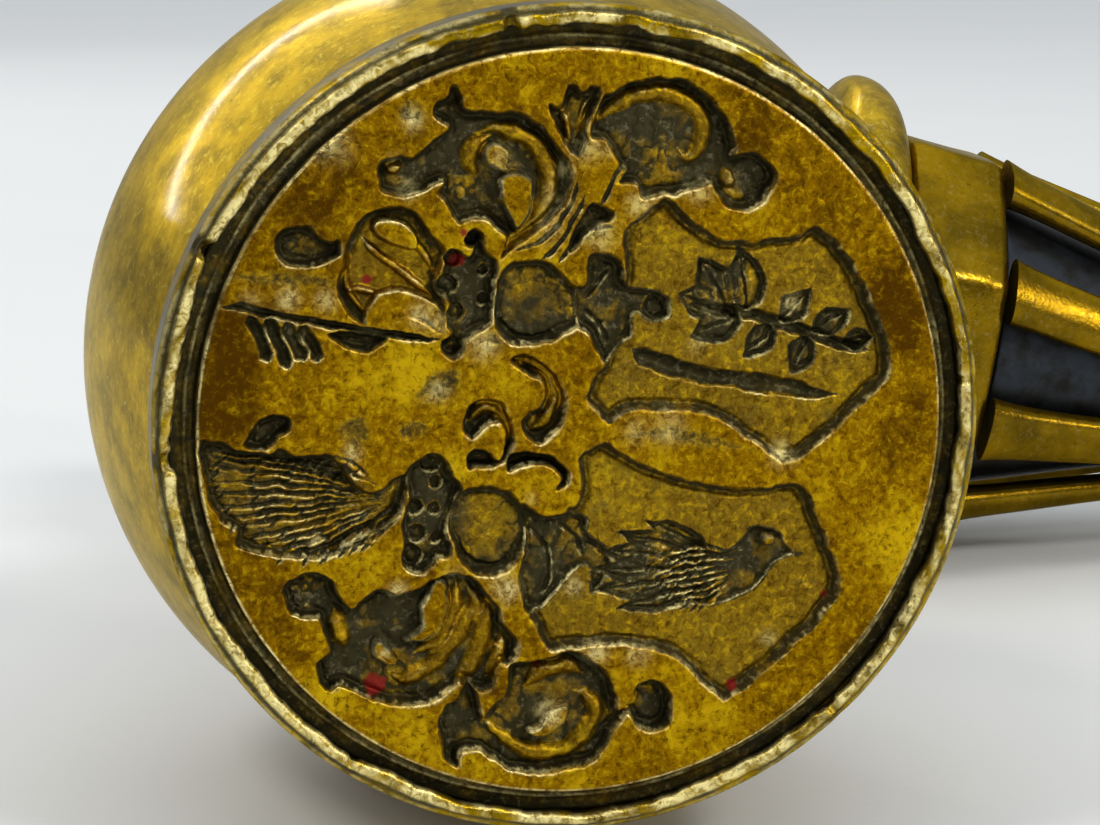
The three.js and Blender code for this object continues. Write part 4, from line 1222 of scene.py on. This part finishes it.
def relief_and_marks(face):
    """The face's depth with the graver's unevenness, and the marks that its finish reads."""
    across, up = face.u, face.v
    # The graver leaves floors uneven by a few hundredths; the flat field is nearly smooth.
    worked = np.clip(face.cut, 0, 1)
    creases = np.abs(cloudy(across, up, 0.75, seed=5, octaves=4))
    depth = face.depth - worked * (0.14 * creases - 0.03)
    depth += 0.004 * cloudy(across, up, 0.5, seed=6)
    depth += 0.02 * cloudy(across, up, 4.0, seed=11)
    centre = np.hypot(across, up)
    depth += 0.05 * smooth_step(centre, face.radius - 0.12, face.radius)
    fine = blurred(depth, 0.06 / face.cell)
    wide = blurred(depth, 0.3 / face.cell)
    # Dirt stays in hollows and in the floors' creases.
    hollow = np.clip((depth - wide) / 0.16, 0, 1) * np.clip(face.cut * 1.5, 0, 1)
    cut = face.cut * (1 + 0.45 * cloudy(across, up, 1.0, seed=41) - 0.35 * worked * creases)
    caught = worked**2 * np.clip(0.8 - 4.0 * creases, 0, 0.8)
    grime = np.clip(face.dirt + 0.4 * hollow + caught, 0, 1)
    # Painted highlight: cut edges on the lower right, whose walls face the light from the upper left, are
    # painted pale in the worn mark, and edges that face up and left get almost none.
    fall, run = np.gradient(fine, face.cell)
    slope = np.hypot(fall, run) + TINY
    facing = smooth_step((0.88 * fall - 0.47 * run) / slope, -0.1, 0.8)
    edge = np.clip((fine - depth) / 0.02 - 0.55, 0, 1)
    streaky = smooth_step(cloudy(across, up, 0.9, seed=3), -0.3, 0.4)
    worn = edge * (0.02 + 0.8 * facing) * (0.15 + 0.85 * streaky)
    brink = smooth_step(centre, face.radius - 0.09, face.radius - 0.04)
    worn = np.maximum(worn, 0.9 * (0.3 + 0.7 * streaky) * brink)
    # The pale patches add rubbed wear and painted highlights to the worn mark.
    worn = np.clip(worn + face.patches(PALE_PATCHES) * (0.35 + 0.75 * streaky), 0, 1)
    wax = np.zeros(depth.shape)
    for right, rise, radius in WAX_SPOTS:
        gap = np.hypot(across - right * face.radius / 100, up - rise * face.radius / 100)
        ragged = radius * (1 + 0.35 * cloudy(across, up, 0.3, seed=21))
        wax = np.maximum(wax, smooth_step(ragged - gap, 0, 0.12))
    return depth, {
        "cut": cut, "grime": grime, "worn": worn, "wax": wax, "toning": face.patches(TONE_PATCHES)
    }


# How many of the disc's rings lie in the groove, where the hand-cut floor is uneven
GROOVE_RINGS = 10


def disc_rings(sizes):
    """Radius, depth, dirt and wear of each ring outside the field. The groove was cut in two
    passes, so a thin rubbed ridge runs along its floor."""
    field = sizes.field_radius / MM
    floor = sizes.groove_depth / MM
    flange = sizes.face_radius / MM - BEZEL_WALL - TURNED_FIT
    register = DRUM_MOUTH_RADIUS - TURNED_FIT
    register_end = disc_back + REGISTER_LENGTH
    boss_end = register_end + BOSS_LENGTH
    return [
        (field + 0.04, 0.12, 0.4, 0.3), (field + 0.05, 0.3, 1, 0),
        (field + 0.04, floor - 0.2, 1, 0), (field + 0.1, floor, 0.66, 0),
        (field + 0.2, floor + 0.04, 0.36, 0), (field + 0.3, floor, 0.15, 0.12),
        (field + 0.38, floor - 0.07, 0.0, 0.3), (field + 0.46, floor, 0.22, 0),
        (field + 0.6, floor + 0.05, 0.46, 0), (field + 0.78, floor, 0.74, 0),
        (flange - 0.1, floor, 1, 0), (flange, floor + 0.1, 1, 0), (flange, disc_back, 1, 0),
        (register, disc_back, 1, 0), (register, register_end, 1, 0),
        (BOSS_RADIUS, register_end, 1, 0), (BOSS_RADIUS, boss_end, 1, 0),
        (stud_hole, boss_end, 1, 0), (stud_hole, boss_end - STUD_THREAD - SEAT_GAP, 1, 0),
    ]


def require(holds, message):
    """Stops an operator with an error where a size can't be built."""
    if not holds:
        raise ValueError(message)


class SEAL_OT_engraved_disc(bpy.types.Operator):
    """Makes the engraved disc: the field's relief, the groove round it, its flange and its boss"""

    bl_idname = "seal.engraved_disc"
    bl_label = "Engraved disc"

    def execute(self, context):
        sizes = context.scene.seal_sizes
        require(sizes.field_radius < sizes.lip_radius, "The field must be smaller than the rim's lip")
        face = engrave_face(sizes)
        depth, marks = relief_and_marks(face)
        points = [np.stack([face.u.ravel(), depth.ravel(), face.v.ravel()], 1)]
        index = np.arange((FACE_STEPS + 1) ** 2).reshape(FACE_STEPS + 1, FACE_STEPS + 1)
        squares = np.stack([index[:-1, :-1], index[:-1, 1:], index[1:, 1:], index[1:, :-1]], -1)
        border = np.concatenate([index[0, :-1], index[:-1, -1], index[-1, :0:-1], index[:0:-1, 0]])
        angle = np.arctan2(points[0][border, 2], points[0][border, 0])
        rings = [border]
        total = len(points[0])
        groove = {"grime": [], "worn": []}
        section = disc_rings(sizes)
        for row, (radius, along, dirt, wear) in enumerate(section):
            uneven = row < GROOVE_RINGS
            rough = np.zeros(len(angle))
            if uneven:
                rough = 0.04 * wobble(angle * 9, along * 5, seed=31 + row)
            radii = radius + rough * 0.7
            points.append(np.stack([radii * np.cos(angle), along + rough, radii * np.sin(angle)], 1))
            rings.append(total + np.arange(len(angle)))
            streaks = cloudy(15 * np.cos(angle), 15 * np.sin(angle) + 0.4 * row, 1.3, seed=81)
            groove["grime"].append(np.clip(dirt + 0.5 * streaks * uneven, 0, 1))
            groove["worn"].append(np.clip(wear + wear * 2 * streaks, 0, 1))
            total += len(angle)
        points.append(np.array([[0.0, section[-1][1], 0.0]]))
        rings.append(np.array([total]))
        outside = total + 1 - len(points[0])
        attributes = {}
        for key, values in marks.items():
            beyond = np.full(outside, 0.82 if key == "cut" else 0.0)
            if key in groove:
                ring_values = np.concatenate(groove[key])
                beyond[: len(ring_values)] = ring_values
            attributes[key] = np.concatenate([values.ravel(), beyond])
        faces = turned_faces(rings, len(border))
        faces[0] = np.concatenate([squares.reshape(-1, 4), faces[0]])
        add_piece(
            "engraved_disc", np.concatenate(points), faces, HEAD, "engraved_brass", "head",
            ["matrix_disc"], attributes=attributes,
        )
        return {"FINISHED"}


# The first of the rim's rings that lies on its shoulder, outside the crest
SHOULDER_RING = 8


class SEAL_OT_rubbed_rim(bpy.types.Operator):
    """Makes the thin rim that is rubbed over the disc's edge, with its nicks and worn lip"""

    bl_idname = "seal.rubbed_rim"
    bl_label = "Rubbed rim"

    def execute(self, context):
        sizes = context.scene.seal_sizes
        outer = sizes.face_radius / MM
        lip = sizes.lip_radius / MM
        require(lip < outer, "The rim's lip must be smaller than the face")
        bore = outer - BEZEL_WALL
        sides = 900
        angle = np.arange(sides) * 2 * math.pi / sides
        degrees = np.degrees(angle)
        # The lip was rubbed over by hand, so its edge wanders and its crest is hammered.
        across, up = outer * np.cos(angle), outer * np.sin(angle)
        ragged = 0.12 * cloudy(across, up, 3.0, seed=4) + 0.1 * cloudy(across, up, 0.7, seed=5)
        ragged += 0.1 * np.clip(cloudy(across, up, 1.6, seed=6), 0, 1)
        lift = 0.08 * cloudy(across, up, 2.4, seed=7) + 0.05 * cloudy(across, up, 0.6, seed=9)
        places, shine = zip(*RIM_SHINE)
        crest_shine = np.interp(degrees, places, shine, period=360)
        nick = np.zeros(sides)
        for at, width, deep in RIM_NICKS:
            away = np.abs((degrees - at + 180) % 360 - 180)
            nick = np.maximum(nick, deep * np.clip(1 - (away / width) ** 2, 0, 1))
        # Radius, depth, how far the ragged edge moves it, how far it is part of the crest, stain
        section = [
            (lip, LIP_THICKNESS, 1.0, 0.0, 1.0), (lip, 0.3, 1.0, 0.1, 1.0),
            (lip + 0.02, 0.16, 1.0, 0.5, 0.6), (lip + 0.06, 0.06, 1.0, 0.9, 0.25),
            (lip + 0.14, 0.01, 0.9, 1.0, 0.25), (lip + 0.27, 0.0, 0.7, 1.0, 0.25),
            (lip + 0.35, 0.03, 0.6, 0.75, 0.4), (lip + 0.4, 0.12, 0.4, 0.2, 0.95),
            (lip + 0.47, 0.2, 0.2, 0.0, 0.9), (lip + 0.53, 0.22, 0.0, 0.15, 0.7),
            (outer - 0.1, 0.26, 0.0, 0.35, 0.25), (outer - 0.03, 0.34, 0.0, 0.3, 0.25),
            (outer, 0.5, 0.0, 0.0, 0.5), (outer, 1.0, 0.0, 0.0, 0.4),
            (outer - 0.03, 1.6, 0.0, 0.0, 0.25), (outer, 2.3, 0.0, 0.0, 0.6),
            (outer - 0.06, BEZEL_DEPTH, 0.0, 0.0, 0.9), (bore, BEZEL_DEPTH, 0.0, 0.0, 0.25),
            (bore, LIP_THICKNESS, 0.0, 0.0, 0.25),
        ]
        points = []
        rings = []
        grime = []
        worn = []
        for row, (radius, along, inner, crest, stain) in enumerate(section):
            start = len(points)
            radii = radius - inner * ragged + inner * nick * 0.6
            depth = along + crest * (lift + 0.06) + crest * nick
            points += list(np.stack([radii * np.cos(angle), depth, radii * np.sin(angle)], 1))
            rings.append(start + np.arange(sides))
            streaks = cloudy(across, up + 0.25 * row, 0.9, seed=12)
            # The crest's pale marks mix rubbed wear with painted highlight, set round the rim by
            # crest_shine.
            rubbed = crest * smooth_step(crest_shine + 1.1 * streaks, 0.25, 0.85)
            # The shoulder outside the crest is darker towards the upper left.
            side = 0.4 * np.cos(angle - math.radians(135)) * (row >= SHOULDER_RING)
            dirt = stain + side + 0.5 * streaks - 0.5 * rubbed + nick * 1.5
            grime.append(np.clip(dirt, 0, 1))
            worn.append(np.clip(rubbed - nick * 3, 0, 1))
        rings.append(rings[0])
        add_piece(
            "rubbed_rim", points, turned_faces(rings, sides), HEAD, "rim_brass", "head", ["bezel_ring"],
            attributes={"grime": np.concatenate(grime), "worn": np.concatenate(worn)},
        )
        return {"FINISHED"}


class SEAL_OT_cushion_head(bpy.types.Operator):
    """Makes the hollow cushion-shaped head behind the disc"""

    bl_idname = "seal.cushion_head"
    bl_label = "Cushion head"

    def execute(self, context):
        widest = context.scene.seal_sizes.drum_radius / MM
        require(widest > DRUM_LEDGE_RADIUS, "The head must be wider than its ledge")
        start = np.array([DRUM_LEDGE_RADIUS, disc_back])
        pull = np.array([widest, disc_back + DRUM_FRONT_LENGTH * DRUM_SWELL_SHARE])
        end = np.array([widest, drum_widest])
        swell = [
            tuple(start * (1 - t) ** 2 + pull * 2 * t * (1 - t) + end * t**2) for t in np.linspace(0, 1, 24)
        ]
        close = widest - DRUM_BACK_RADIUS
        inner = widest - DRUM_WALL
        inner_back = drum_back - DRUM_WALL
        profile = (
            [(DRUM_MOUTH_RADIUS, disc_back)]
            + swell
            + ellipse_arc((DRUM_BACK_RADIUS, drum_widest), (close, DRUM_BACK_LENGTH), 0, 90, 24)[1:]
            + [(stud_hole, drum_back), (stud_hole, inner_back)]
            + ellipse_arc(
                (DRUM_BACK_RADIUS, drum_widest),
                (inner - DRUM_BACK_RADIUS, inner_back - drum_widest), 90, 0, 12,
            )
            + ellipse_arc(
                (DRUM_MOUTH_RADIUS, drum_widest),
                (inner - DRUM_MOUTH_RADIUS, disc_back + DRUM_WALL - drum_widest), 0, 90, 8,
            )[1:]
        )
        add_turning(
            "cushion_head", profile, HEAD, "turned_brass", "head", ["head_drum"], sides=256, uneven=0.03
        )
        return {"FINISHED"}


class SEAL_OT_back_turnings(bpy.types.Operator):
    """Makes the bead and the waisted stalk on the head's back"""

    bl_idname = "seal.back_turnings"
    bl_label = "Bead and stalk"

    def execute(self, context):
        ring = bead(stud_hole, drum_back, ring_back, RING_RADIUS - RING_THICKNESS / 2, RING_RADIUS)
        add_turning("back_bead", ring, HEAD, "turned_brass", "head", ["back_ring"], seed=2)
        waist = ring_back + STALK_LENGTH / 2
        half = STALK_LENGTH / 2
        foot = STALK_FOOT_RADIUS - STALK_WAIST_RADIUS
        head = STALK_HEAD_RADIUS - STALK_WAIST_RADIUS
        stalk = (
            [(stud_hole, ring_back)]
            + ellipse_arc((STALK_FOOT_RADIUS, waist), (-foot, -half), 90, 0)
            + ellipse_arc((STALK_HEAD_RADIUS, waist), (-head, half), 0, 90)[1:]
            + [(stud_hole, stalk_back)]
        )
        add_turning("waisted_stalk", stalk, HEAD, "turned_brass", "head", ["back_stalk"], seed=3)
        return {"FINISHED"}


def add_casting(name, node, slot, body, voxel=0.13):
    """The CAD piece with its edges rounded, as a casting's are after filing."""
    mesh = frame["nodes"][node].data.copy()
    mesh.materials.clear()
    piece = add_object(name, mesh)
    remesh = piece.modifiers.new("even_mesh", "REMESH")
    remesh.mode = "VOXEL"
    remesh.voxel_size = voxel * MM
    remesh.use_smooth_shade = True
    relax = piece.modifiers.new("rounded_edges", "SMOOTH")
    relax.factor = 0.5
    relax.iterations = 10
    graph = bpy.context.evaluated_depsgraph_get()
    shaped = bpy.data.meshes.new_from_object(piece.evaluated_get(graph))
    piece.modifiers.clear()
    piece.data = shaped
    shaped.name = name
    shaped.materials.clear()
    shaped.materials.append(finish(slot))
    shaped.shade_smooth()
    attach(piece, body)
    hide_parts(node)
    return piece


class SEAL_OT_hinge(bpy.types.Operator):
    """Makes the hinge: the knuckle on the head, the fork on the handle, the pin and its rosettes"""

    bl_idname = "seal.hinge"
    bl_label = "Hinge"

    def execute(self, context):
        add_casting("hinge_knuckle", "hinge_block", "cast_brass", "head")
        add_casting("hinge_fork", "clevis", "cast_brass", "handle")
        across = HANDLE @ Matrix.Rotation(math.radians(90), 4, "X")
        head_start = ROSETTE_SEAT + ROSETTE_THICKNESS + SEAT_GAP
        top = ellipse_arc((0, head_start), (PIN_HEAD_RADIUS, PIN_HEAD_HEIGHT), 0, 90)
        bottom = ellipse_arc((0, -head_start), (PIN_HEAD_RADIUS, -PIN_HEAD_HEIGHT), 90, 0)
        pin = bottom + [(PIN_RADIUS, -head_start), (PIN_RADIUS, head_start)] + top
        pin[0] = (0, pin[0][1])
        pin[-1] = (0, pin[-1][1])
        add_turning(
            "riveted_pin", pin, across, "steel", "handle", ["hinge_pin"], closed=False, sides=96, fillet=0.1
        )
        hole = PIN_RADIUS + TURNED_FIT
        for name, node, sign in (
            ("rosette_upper", "pin_rosette_upper", 1), ("rosette_lower", "pin_rosette_lower", -1)
        ):
            seat = sign * ROSETTE_SEAT
            outer = sign * (ROSETTE_SEAT + ROSETTE_THICKNESS)
            middle = (seat + outer) / 2
            washer = [
                (hole, seat), (ROSETTE_RADIUS, seat), (ROSETTE_RADIUS, middle),
                (ROSETTE_RADIUS * 0.7, outer), (hole, outer),
            ]
            add_turning(
                name, washer, across, "turned_brass", "handle", [node], sides=96, fillet=0.15, uneven=0.01
            )
        return {"FINISHED"}


class SEAL_OT_neck_and_guard(bpy.types.Operator):
    """Makes the turned neck and the rounded guard"""

    bl_idname = "seal.neck_and_guard"
    bl_label = "Neck and guard"

    def execute(self, context):
        guard_radius = context.scene.seal_sizes.guard_radius / MM
        require(guard_radius > NECK_FLARE_RADIUS, "The guard must be wider than the neck's flare")
        swell = NECK_BEAD_RADIUS - NECK_RADIUS
        bead_at = neck_start + swell
        flare = neck_end - bead_at - swell
        neck = (
            [(tang_hole, neck_start), (NECK_RADIUS, neck_start)]
            + ellipse_arc((NECK_RADIUS, bead_at), (swell, swell), -90, 90)
            + ellipse_arc(
                (NECK_FLARE_RADIUS, bead_at + swell), (NECK_RADIUS - NECK_FLARE_RADIUS, flare), 0, 90
            )[1:]
            + [(tang_hole, neck_end)]
        )
        add_turning("neck_turning", neck, HANDLE, "turned_brass", "handle", ["neck_baluster"], seed=5)
        edge = GUARD_THICKNESS / 2
        widest = guard_start + edge
        guard = (
            [(tang_hole, guard_start), (NECK_FLARE_RADIUS, guard_start)]
            + ellipse_arc((guard_radius - edge, widest), (edge, edge * 0.62), -90, 0)
            + ellipse_arc((guard_radius - edge, widest), (edge, edge), 0, 90)[1:]
            + [(tang_hole, guard_end)]
        )
        add_turning(
            "finger_guard", guard, HANDLE, "turned_brass", "handle", ["guard_collar"], sides=200,
            uneven=0.08, seed=6,
        )
        return {"FINISHED"}


def add_loft(name, ring_points, slot, nodes, sharp_degrees=180):
    """A closed skin over rings of points, with a cap at each end, on the handle."""
    sides = len(ring_points[0])
    points = np.concatenate([np.array(ring) for ring in ring_points])
    first = np.array(ring_points[0]).mean(0)
    last = np.array(ring_points[-1]).mean(0)
    rings = [np.array([len(points)])]
    rings += [row * sides + np.arange(sides) for row in range(len(ring_points))]
    rings.append(np.array([len(points) + 1]))
    points = np.concatenate([points, [first], [last]])
    return add_piece(
        name, points, turned_faces(rings, sides), HANDLE, slot, "handle", nodes, sharp_degrees
    )


class SEAL_OT_neck_block(bpy.types.Operator):
    """Makes the eight-sided block that the cage's bars stand on"""

    bl_idname = "seal.neck_block"
    bl_label = "Neck block"

    def execute(self, context):
        sides = BLOCK_SIDES * 24
        angle = np.arange(sides) * 2 * math.pi / sides
        to_flat = (angle - CAGE_CLOCK) % (2 * math.pi / BLOCK_SIDES) - math.pi / BLOCK_SIDES
        # One over the cosine draws a flat; the power mean with a circle rounds the corners.
        flat = math.cos(math.pi / BLOCK_SIDES) / np.cos(to_flat)
        circle = 1.012
        power = 30
        soft = (flat**-power + circle**-power) ** (-1 / power)
        rings = []
        fillet = 0.5
        bend = fillet * 0.3
        for along, inset in (
            (0, 1.2), (0, fillet), (bend, bend), (fillet, 0), (BLOCK_LENGTH * 0.35, 0.0),
            (BLOCK_LENGTH * 0.7, 0.02), (BLOCK_LENGTH - fillet, 0), (BLOCK_LENGTH - bend, bend),
            (BLOCK_LENGTH, fillet), (BLOCK_LENGTH, 1.2),
        ):
            share = along / BLOCK_LENGTH
            radius = BLOCK_START_RADIUS + (BLOCK_END_RADIUS - BLOCK_START_RADIUS) * share
            radii = radius * soft - inset + 0.05 * wobble(angle, along, seed=17)
            level = np.full(sides, block_start + along)
            rings.append(np.stack([radii * np.cos(angle), level, radii * np.sin(angle)], 1))
        add_loft("eight_sided_block", rings, "cast_brass", ["neck_block"], sharp_degrees=60)
        return {"FINISHED"}


def cage_radius(share):
    """How far the bars' middles are from the handle's axis."""
    straight = CAGE_START_RADIUS + (CAGE_END_RADIUS - CAGE_START_RADIUS) * share
    return straight - CAGE_HOLLOW * math.sin(math.pi * share)


def bar_half_depth(share):
    """Half the bars' thickness, at a share of their length."""
    return BAR_START_HALF_DEPTH + (BAR_END_HALF_DEPTH - BAR_START_HALF_DEPTH) * share


class SEAL_OT_cage(bpy.types.Operator):
    """Makes the cage: eight strap bars round the dark core"""

    bl_idname = "seal.cage"
    bl_label = "Cage bars and core"

    def execute(self, context):
        sizes = context.scene.seal_sizes
        start_width = sizes.bar_start_half_width / MM
        end_width = sizes.bar_end_half_width / MM
        sides = 36
        around = np.arange(sides) * 2 * math.pi / sides
        shares = np.concatenate(
            [
                np.linspace(0, BAR_ROOT_SHARE, 9),
                np.linspace(BAR_ROOT_SHARE, BAR_TIP_SHARE, 36)[1:],
                np.linspace(BAR_TIP_SHARE, 1, 6)[1:],
            ]
        )
        cosine, sine = np.cos(around), np.sin(around)
        thick = np.sign(cosine) * np.abs(cosine) ** BAR_SQUARENESS
        wide = np.sign(sine) * np.abs(sine) ** BAR_SQUARENESS
        for index in range(BAR_COUNT):
            clock = CAGE_CLOCK + index * 2 * math.pi / BAR_COUNT
            rings = []
            for share in shares:
                angle = clock + CAGE_TWIST * share
                # The root spreads where it was filed into the block.
                root = max(0.0, 1 - share / BAR_ROOT_SHARE) ** 2
                across = (start_width + (end_width - start_width) * share) + 0.15 * root
                deep = bar_half_depth(share) + 0.12 * root
                uneven = 1 + 0.03 * math.sin(9 * share + index * 2.1)
                out = cage_radius(share) + thick * deep * uneven
                z = wide * across * uneven
                x_turned = out * math.cos(angle) - z * math.sin(angle)
                z_turned = out * math.sin(angle) + z * math.cos(angle)
                level = np.full(sides, cage_start + share * CAGE_LENGTH)
                rings.append(np.stack([x_turned, level, z_turned], 1))
            number = str(index + 1)
            add_loft(
                "strap_bar_" + number, rings, "cast_brass", ["cage_bar_" + number], sharp_degrees=60
            )
        side = []
        for share in np.linspace(0, 1, 24):
            radius = cage_radius(share) - bar_half_depth(share) - CORE_CLEARANCE
            side.append((radius, cage_start + share * CAGE_LENGTH))
        core = [(tang_hole, cage_start)] + side + [(tang_hole, cage_end)]
        add_turning("iron_core", core, HANDLE, "black_iron", "handle", ["core_barrel"], sides=128, seed=7)
        return {"FINISHED"}


class SEAL_OT_end_turnings(bpy.types.Operator):
    """Makes the collar, the knob and the small nut at the handle's end"""

    bl_idname = "seal.end_turnings"
    bl_label = "Collar, knob and nut"

    def execute(self, context):
        knob_radius = context.scene.seal_sizes.knob_radius / MM
        require(knob_radius > KNOB_NECK_RADIUS, "The knob must be wider than its neck")
        foot = COLLAR_RADIUS - COLLAR_LENGTH / 2
        collar = bead(tang_hole, collar_start, collar_end, foot, COLLAR_RADIUS)
        add_turning("gathering_collar", collar, HANDLE, "turned_brass", "handle", ["end_collar"], seed=8)
        knob = bead(tang_hole, knob_start, knob_end, KNOB_NECK_RADIUS, knob_radius, steps=28)
        add_turning("ball_knob", knob, HANDLE, "turned_brass", "handle", ["end_knob"], seed=9)
        floor = nut_start + NUT_SOCKET
        nut = (
            [(0, floor), (tang_hole, floor), (tang_hole, nut_start), (NUT_RADIUS, nut_start)]
            + ellipse_arc((0, nut_start + NUT_LENGTH / 2), (NUT_RADIUS, NUT_LENGTH / 2), 0, 90)
        )
        nut[-1] = (0, nut[-1][1])
        add_turning(
            "cap_nut", nut, HANDLE, "turned_brass", "handle", ["end_nut"], closed=False, sides=96,
            fillet=0.12,
        )
        return {"FINISHED"}


class SEAL_OT_hidden_fixings(bpy.types.Operator):
    """Gives the stud and the tang, which stay as the CAD has them, their steel"""

    bl_idname = "seal.hidden_fixings"
    bl_label = "Stud and tang"

    def execute(self, context):
        for node in ("clamp_stud", "handle_tang"):
            mesh = frame["nodes"][node].data
            mesh.materials.clear()
            mesh.materials.append(finish("steel"))
        return {"FINISHED"}


def add_light(name, place, target, size, energy, tint):
    """A rectangular area light that faces its target, with sizes in metres and energy in watts."""
    lamp = bpy.data.lights.new(name, "AREA")
    lamp.shape = "RECTANGLE"
    lamp.size, lamp.size_y = size
    lamp.energy = energy
    lamp.color = linear(tint)[:3]
    holder = add_object(name, lamp)
    holder.location = place
    holder.rotation_euler = (Vector(target) - Vector(place)).to_track_quat("-Z", "Y").to_euler()
    return holder


# The camera, fitted to the rim, the groove, the head's outline and the handle: its place from
# the face's middle in millimetres, its turns in degrees, its lens and its sensor's width
CAMERA_PLACE = (-17.77, -94.8, 17.34)
CAMERA_TURNS = (80.1, 0, -10.1)
CAMERA_LENS = 96.6
CAMERA_SENSOR = 36

# Soft lights: where each stands from the face, how far off and its size in metres, its energy
# in watts and its tint. The streak is a narrow light behind the seal that draws the glint on the
# head's side, and the left glow gives the pale sheen beside it. The raking light picks out the
# cuts' far walls, the front fill opens the shadows, and the bar glint lights the nearest bars.
LIGHTS = {
    "streak": ((-0.33, 0.83, 0.38), 0.55, (0.34, 0.005), 0.36, "#FFFFFF"),
    "left_glow": ((-0.80, 0.42, 0.42), 0.60, (0.50, 0.40), 0.25, "#FFF9EE"),
    "raking": ((-0.50, -0.24, 0.83), 0.60, (0.14, 0.14), 0.85, "#FFF8EC"),
    "front_fill": ((0.45, -0.62, 0.62), 0.90, (0.20, 0.12), 2.9, "#FFFFFF"),
    "bar_glint": ((0.79, -0.53, 0.32), 0.50, (0.06, 0.025), 0.45, "#FFF6E0"),
}
STREAK_TURN = -38
SKY_TINT = "#E6EAEE"

# Half the table's width in metres, so that its edge lies far behind the seal in every view
TABLE_HALF = 3.0


class SEAL_OT_stage(bpy.types.Operator):
    """Makes the camera, the pale table and the soft studio light"""

    bl_idname = "seal.stage"
    bl_label = "Camera, table and light"

    def execute(self, context):
        scene = context.scene
        camera = add_object("camera", bpy.data.cameras.new("camera"))
        camera.location = face_middle + Vector(CAMERA_PLACE) * MM
        camera.rotation_euler = [math.radians(turn) for turn in CAMERA_TURNS]
        camera.data.lens = CAMERA_LENS
        camera.data.sensor_width = CAMERA_SENSOR
        camera.data.clip_start = 0.005
        camera.data.clip_end = 20
        camera.data.dof.use_dof = False
        scene.camera = camera

        # Matt paper over a table: no gloss, and a tooth that only breaks the light a little
        colours = scene.seal_colours
        material, tree = new_material("table_matt_paper", colours.floor)
        place = add_node(tree, "ShaderNodeTexCoord").outputs["Object"]
        # Paper tooth of 0.4 mm under broad, faint unevenness of 60 mm
        tooth = add_node(tree, "ShaderNodeTexNoise", {"Vector": place, "Scale": per_mm(0.4)})
        broad = add_node(tree, "ShaderNodeTexNoise", {"Vector": place, "Scale": per_mm(60)})
        shade = add_node(
            tree, "ShaderNodeMapRange", {"Value": broad.outputs["Fac"], "To Min": 0.0, "To Max": 0.5}
        ).outputs["Result"]
        finish_surface(
            tree, colours.floor, [(shade, colours.floor_shade)], metallic=0.0, roughness=0.75,
            height=tooth.outputs["Fac"], bump_mm=0.01,
        )
        mesh = bpy.data.meshes.new("table")
        corners = [(x * TABLE_HALF, y * TABLE_HALF, 0) for x, y in ((-1, -1), (1, -1), (1, 1), (-1, 1))]
        mesh.from_pydata(corners, [], [(0, 1, 2, 3)])
        table = add_object("table", mesh)
        mesh.materials.append(material)

        for name, (toward, distance, size, energy, tint) in LIGHTS.items():
            spot = face_middle + Vector(toward).normalized() * distance
            lamp = add_light(name, spot, face_middle, size, energy, tint)
            lamp.visible_camera = False
            if name == "streak":
                lamp.rotation_euler.rotate_axis("Z", math.radians(STREAK_TURN))
        world = bpy.data.worlds.new("studio")
        scene.world = world
        world.use_nodes = True
        world.node_tree.nodes.clear()
        tree = world.node_tree
        # The studio is light overhead and behind the seal, and dim behind the camera.
        toward = add_node(tree, "ShaderNodeTexCoord").outputs["Generated"]
        axes = add_node(tree, "ShaderNodeSeparateXYZ", {"Vector": toward})
        overhead = add_node(
            tree, "ShaderNodeMapRange",
            {"Value": axes.outputs["Z"], "From Min": 0.3, "From Max": 0.9, "To Min": 0.0, "To Max": 1.15},
        ).outputs["Result"]
        behind = add_node(
            tree, "ShaderNodeMapRange",
            {"Value": axes.outputs["Y"], "From Min": -0.2, "From Max": 0.9, "To Min": 0.13, "To Max": 0.58},
        ).outputs["Result"]
        strength = add_node(tree, "ShaderNodeMath", {0: overhead, 1: behind}, operation="ADD").outputs[0]
        glow = add_node(tree, "ShaderNodeBackground", {"Color": linear(SKY_TINT), "Strength": strength})
        add_node(tree, "ShaderNodeOutputWorld", {"Surface": glow.outputs["Background"]})
        scene.view_settings.view_transform = "Standard"
        return {"FINISHED"}


class SEAL_PT_panel(bpy.types.Panel):
    """The seal's sizes, colours and pieces"""

    bl_idname = "SEAL_PT_panel"
    bl_label = "Folding desk seal"
    bl_space_type = "VIEW_3D"
    bl_region_type = "UI"
    bl_category = "Seal"

    def draw(self, context):
        layout = self.layout
        for group in (context.scene.seal_sizes, context.scene.seal_colours):
            box = layout.box()
            for name in group.__annotations__:
                box.prop(group, name)
        column = layout.column()
        for step in STEPS:
            column.operator(step.bl_idname)


STEPS = (
    SEAL_OT_stage,
    SEAL_OT_engraved_disc,
    SEAL_OT_rubbed_rim,
    SEAL_OT_cushion_head,
    SEAL_OT_back_turnings,
    SEAL_OT_hinge,
    SEAL_OT_neck_and_guard,
    SEAL_OT_neck_block,
    SEAL_OT_cage,
    SEAL_OT_end_turnings,
    SEAL_OT_hidden_fixings,
)
CLASSES = (SealSizes, SealColours) + STEPS + (SEAL_PT_panel,)


def register():
    """Adds the seal's sizes, colours, operators and panel to Blender."""
    for each in CLASSES:
        bpy.utils.register_class(each)
    bpy.types.Scene.seal_sizes = bpy.props.PointerProperty(type=SealSizes)
    bpy.types.Scene.seal_colours = bpy.props.PointerProperty(type=SealColours)


def unregister():
    """Takes them out again."""
    del bpy.types.Scene.seal_colours
    del bpy.types.Scene.seal_sizes
    for each in reversed(CLASSES):
        bpy.utils.unregister_class(each)


def main():
    """Makes every piece."""
    register()
    for step in STEPS:
        group, name = step.bl_idname.split(".")
        if getattr(getattr(bpy.ops, group), name)() != {"FINISHED"}:
            raise RuntimeError(step.bl_label + " didn't finish")


if __name__ == "__main__":
    main()
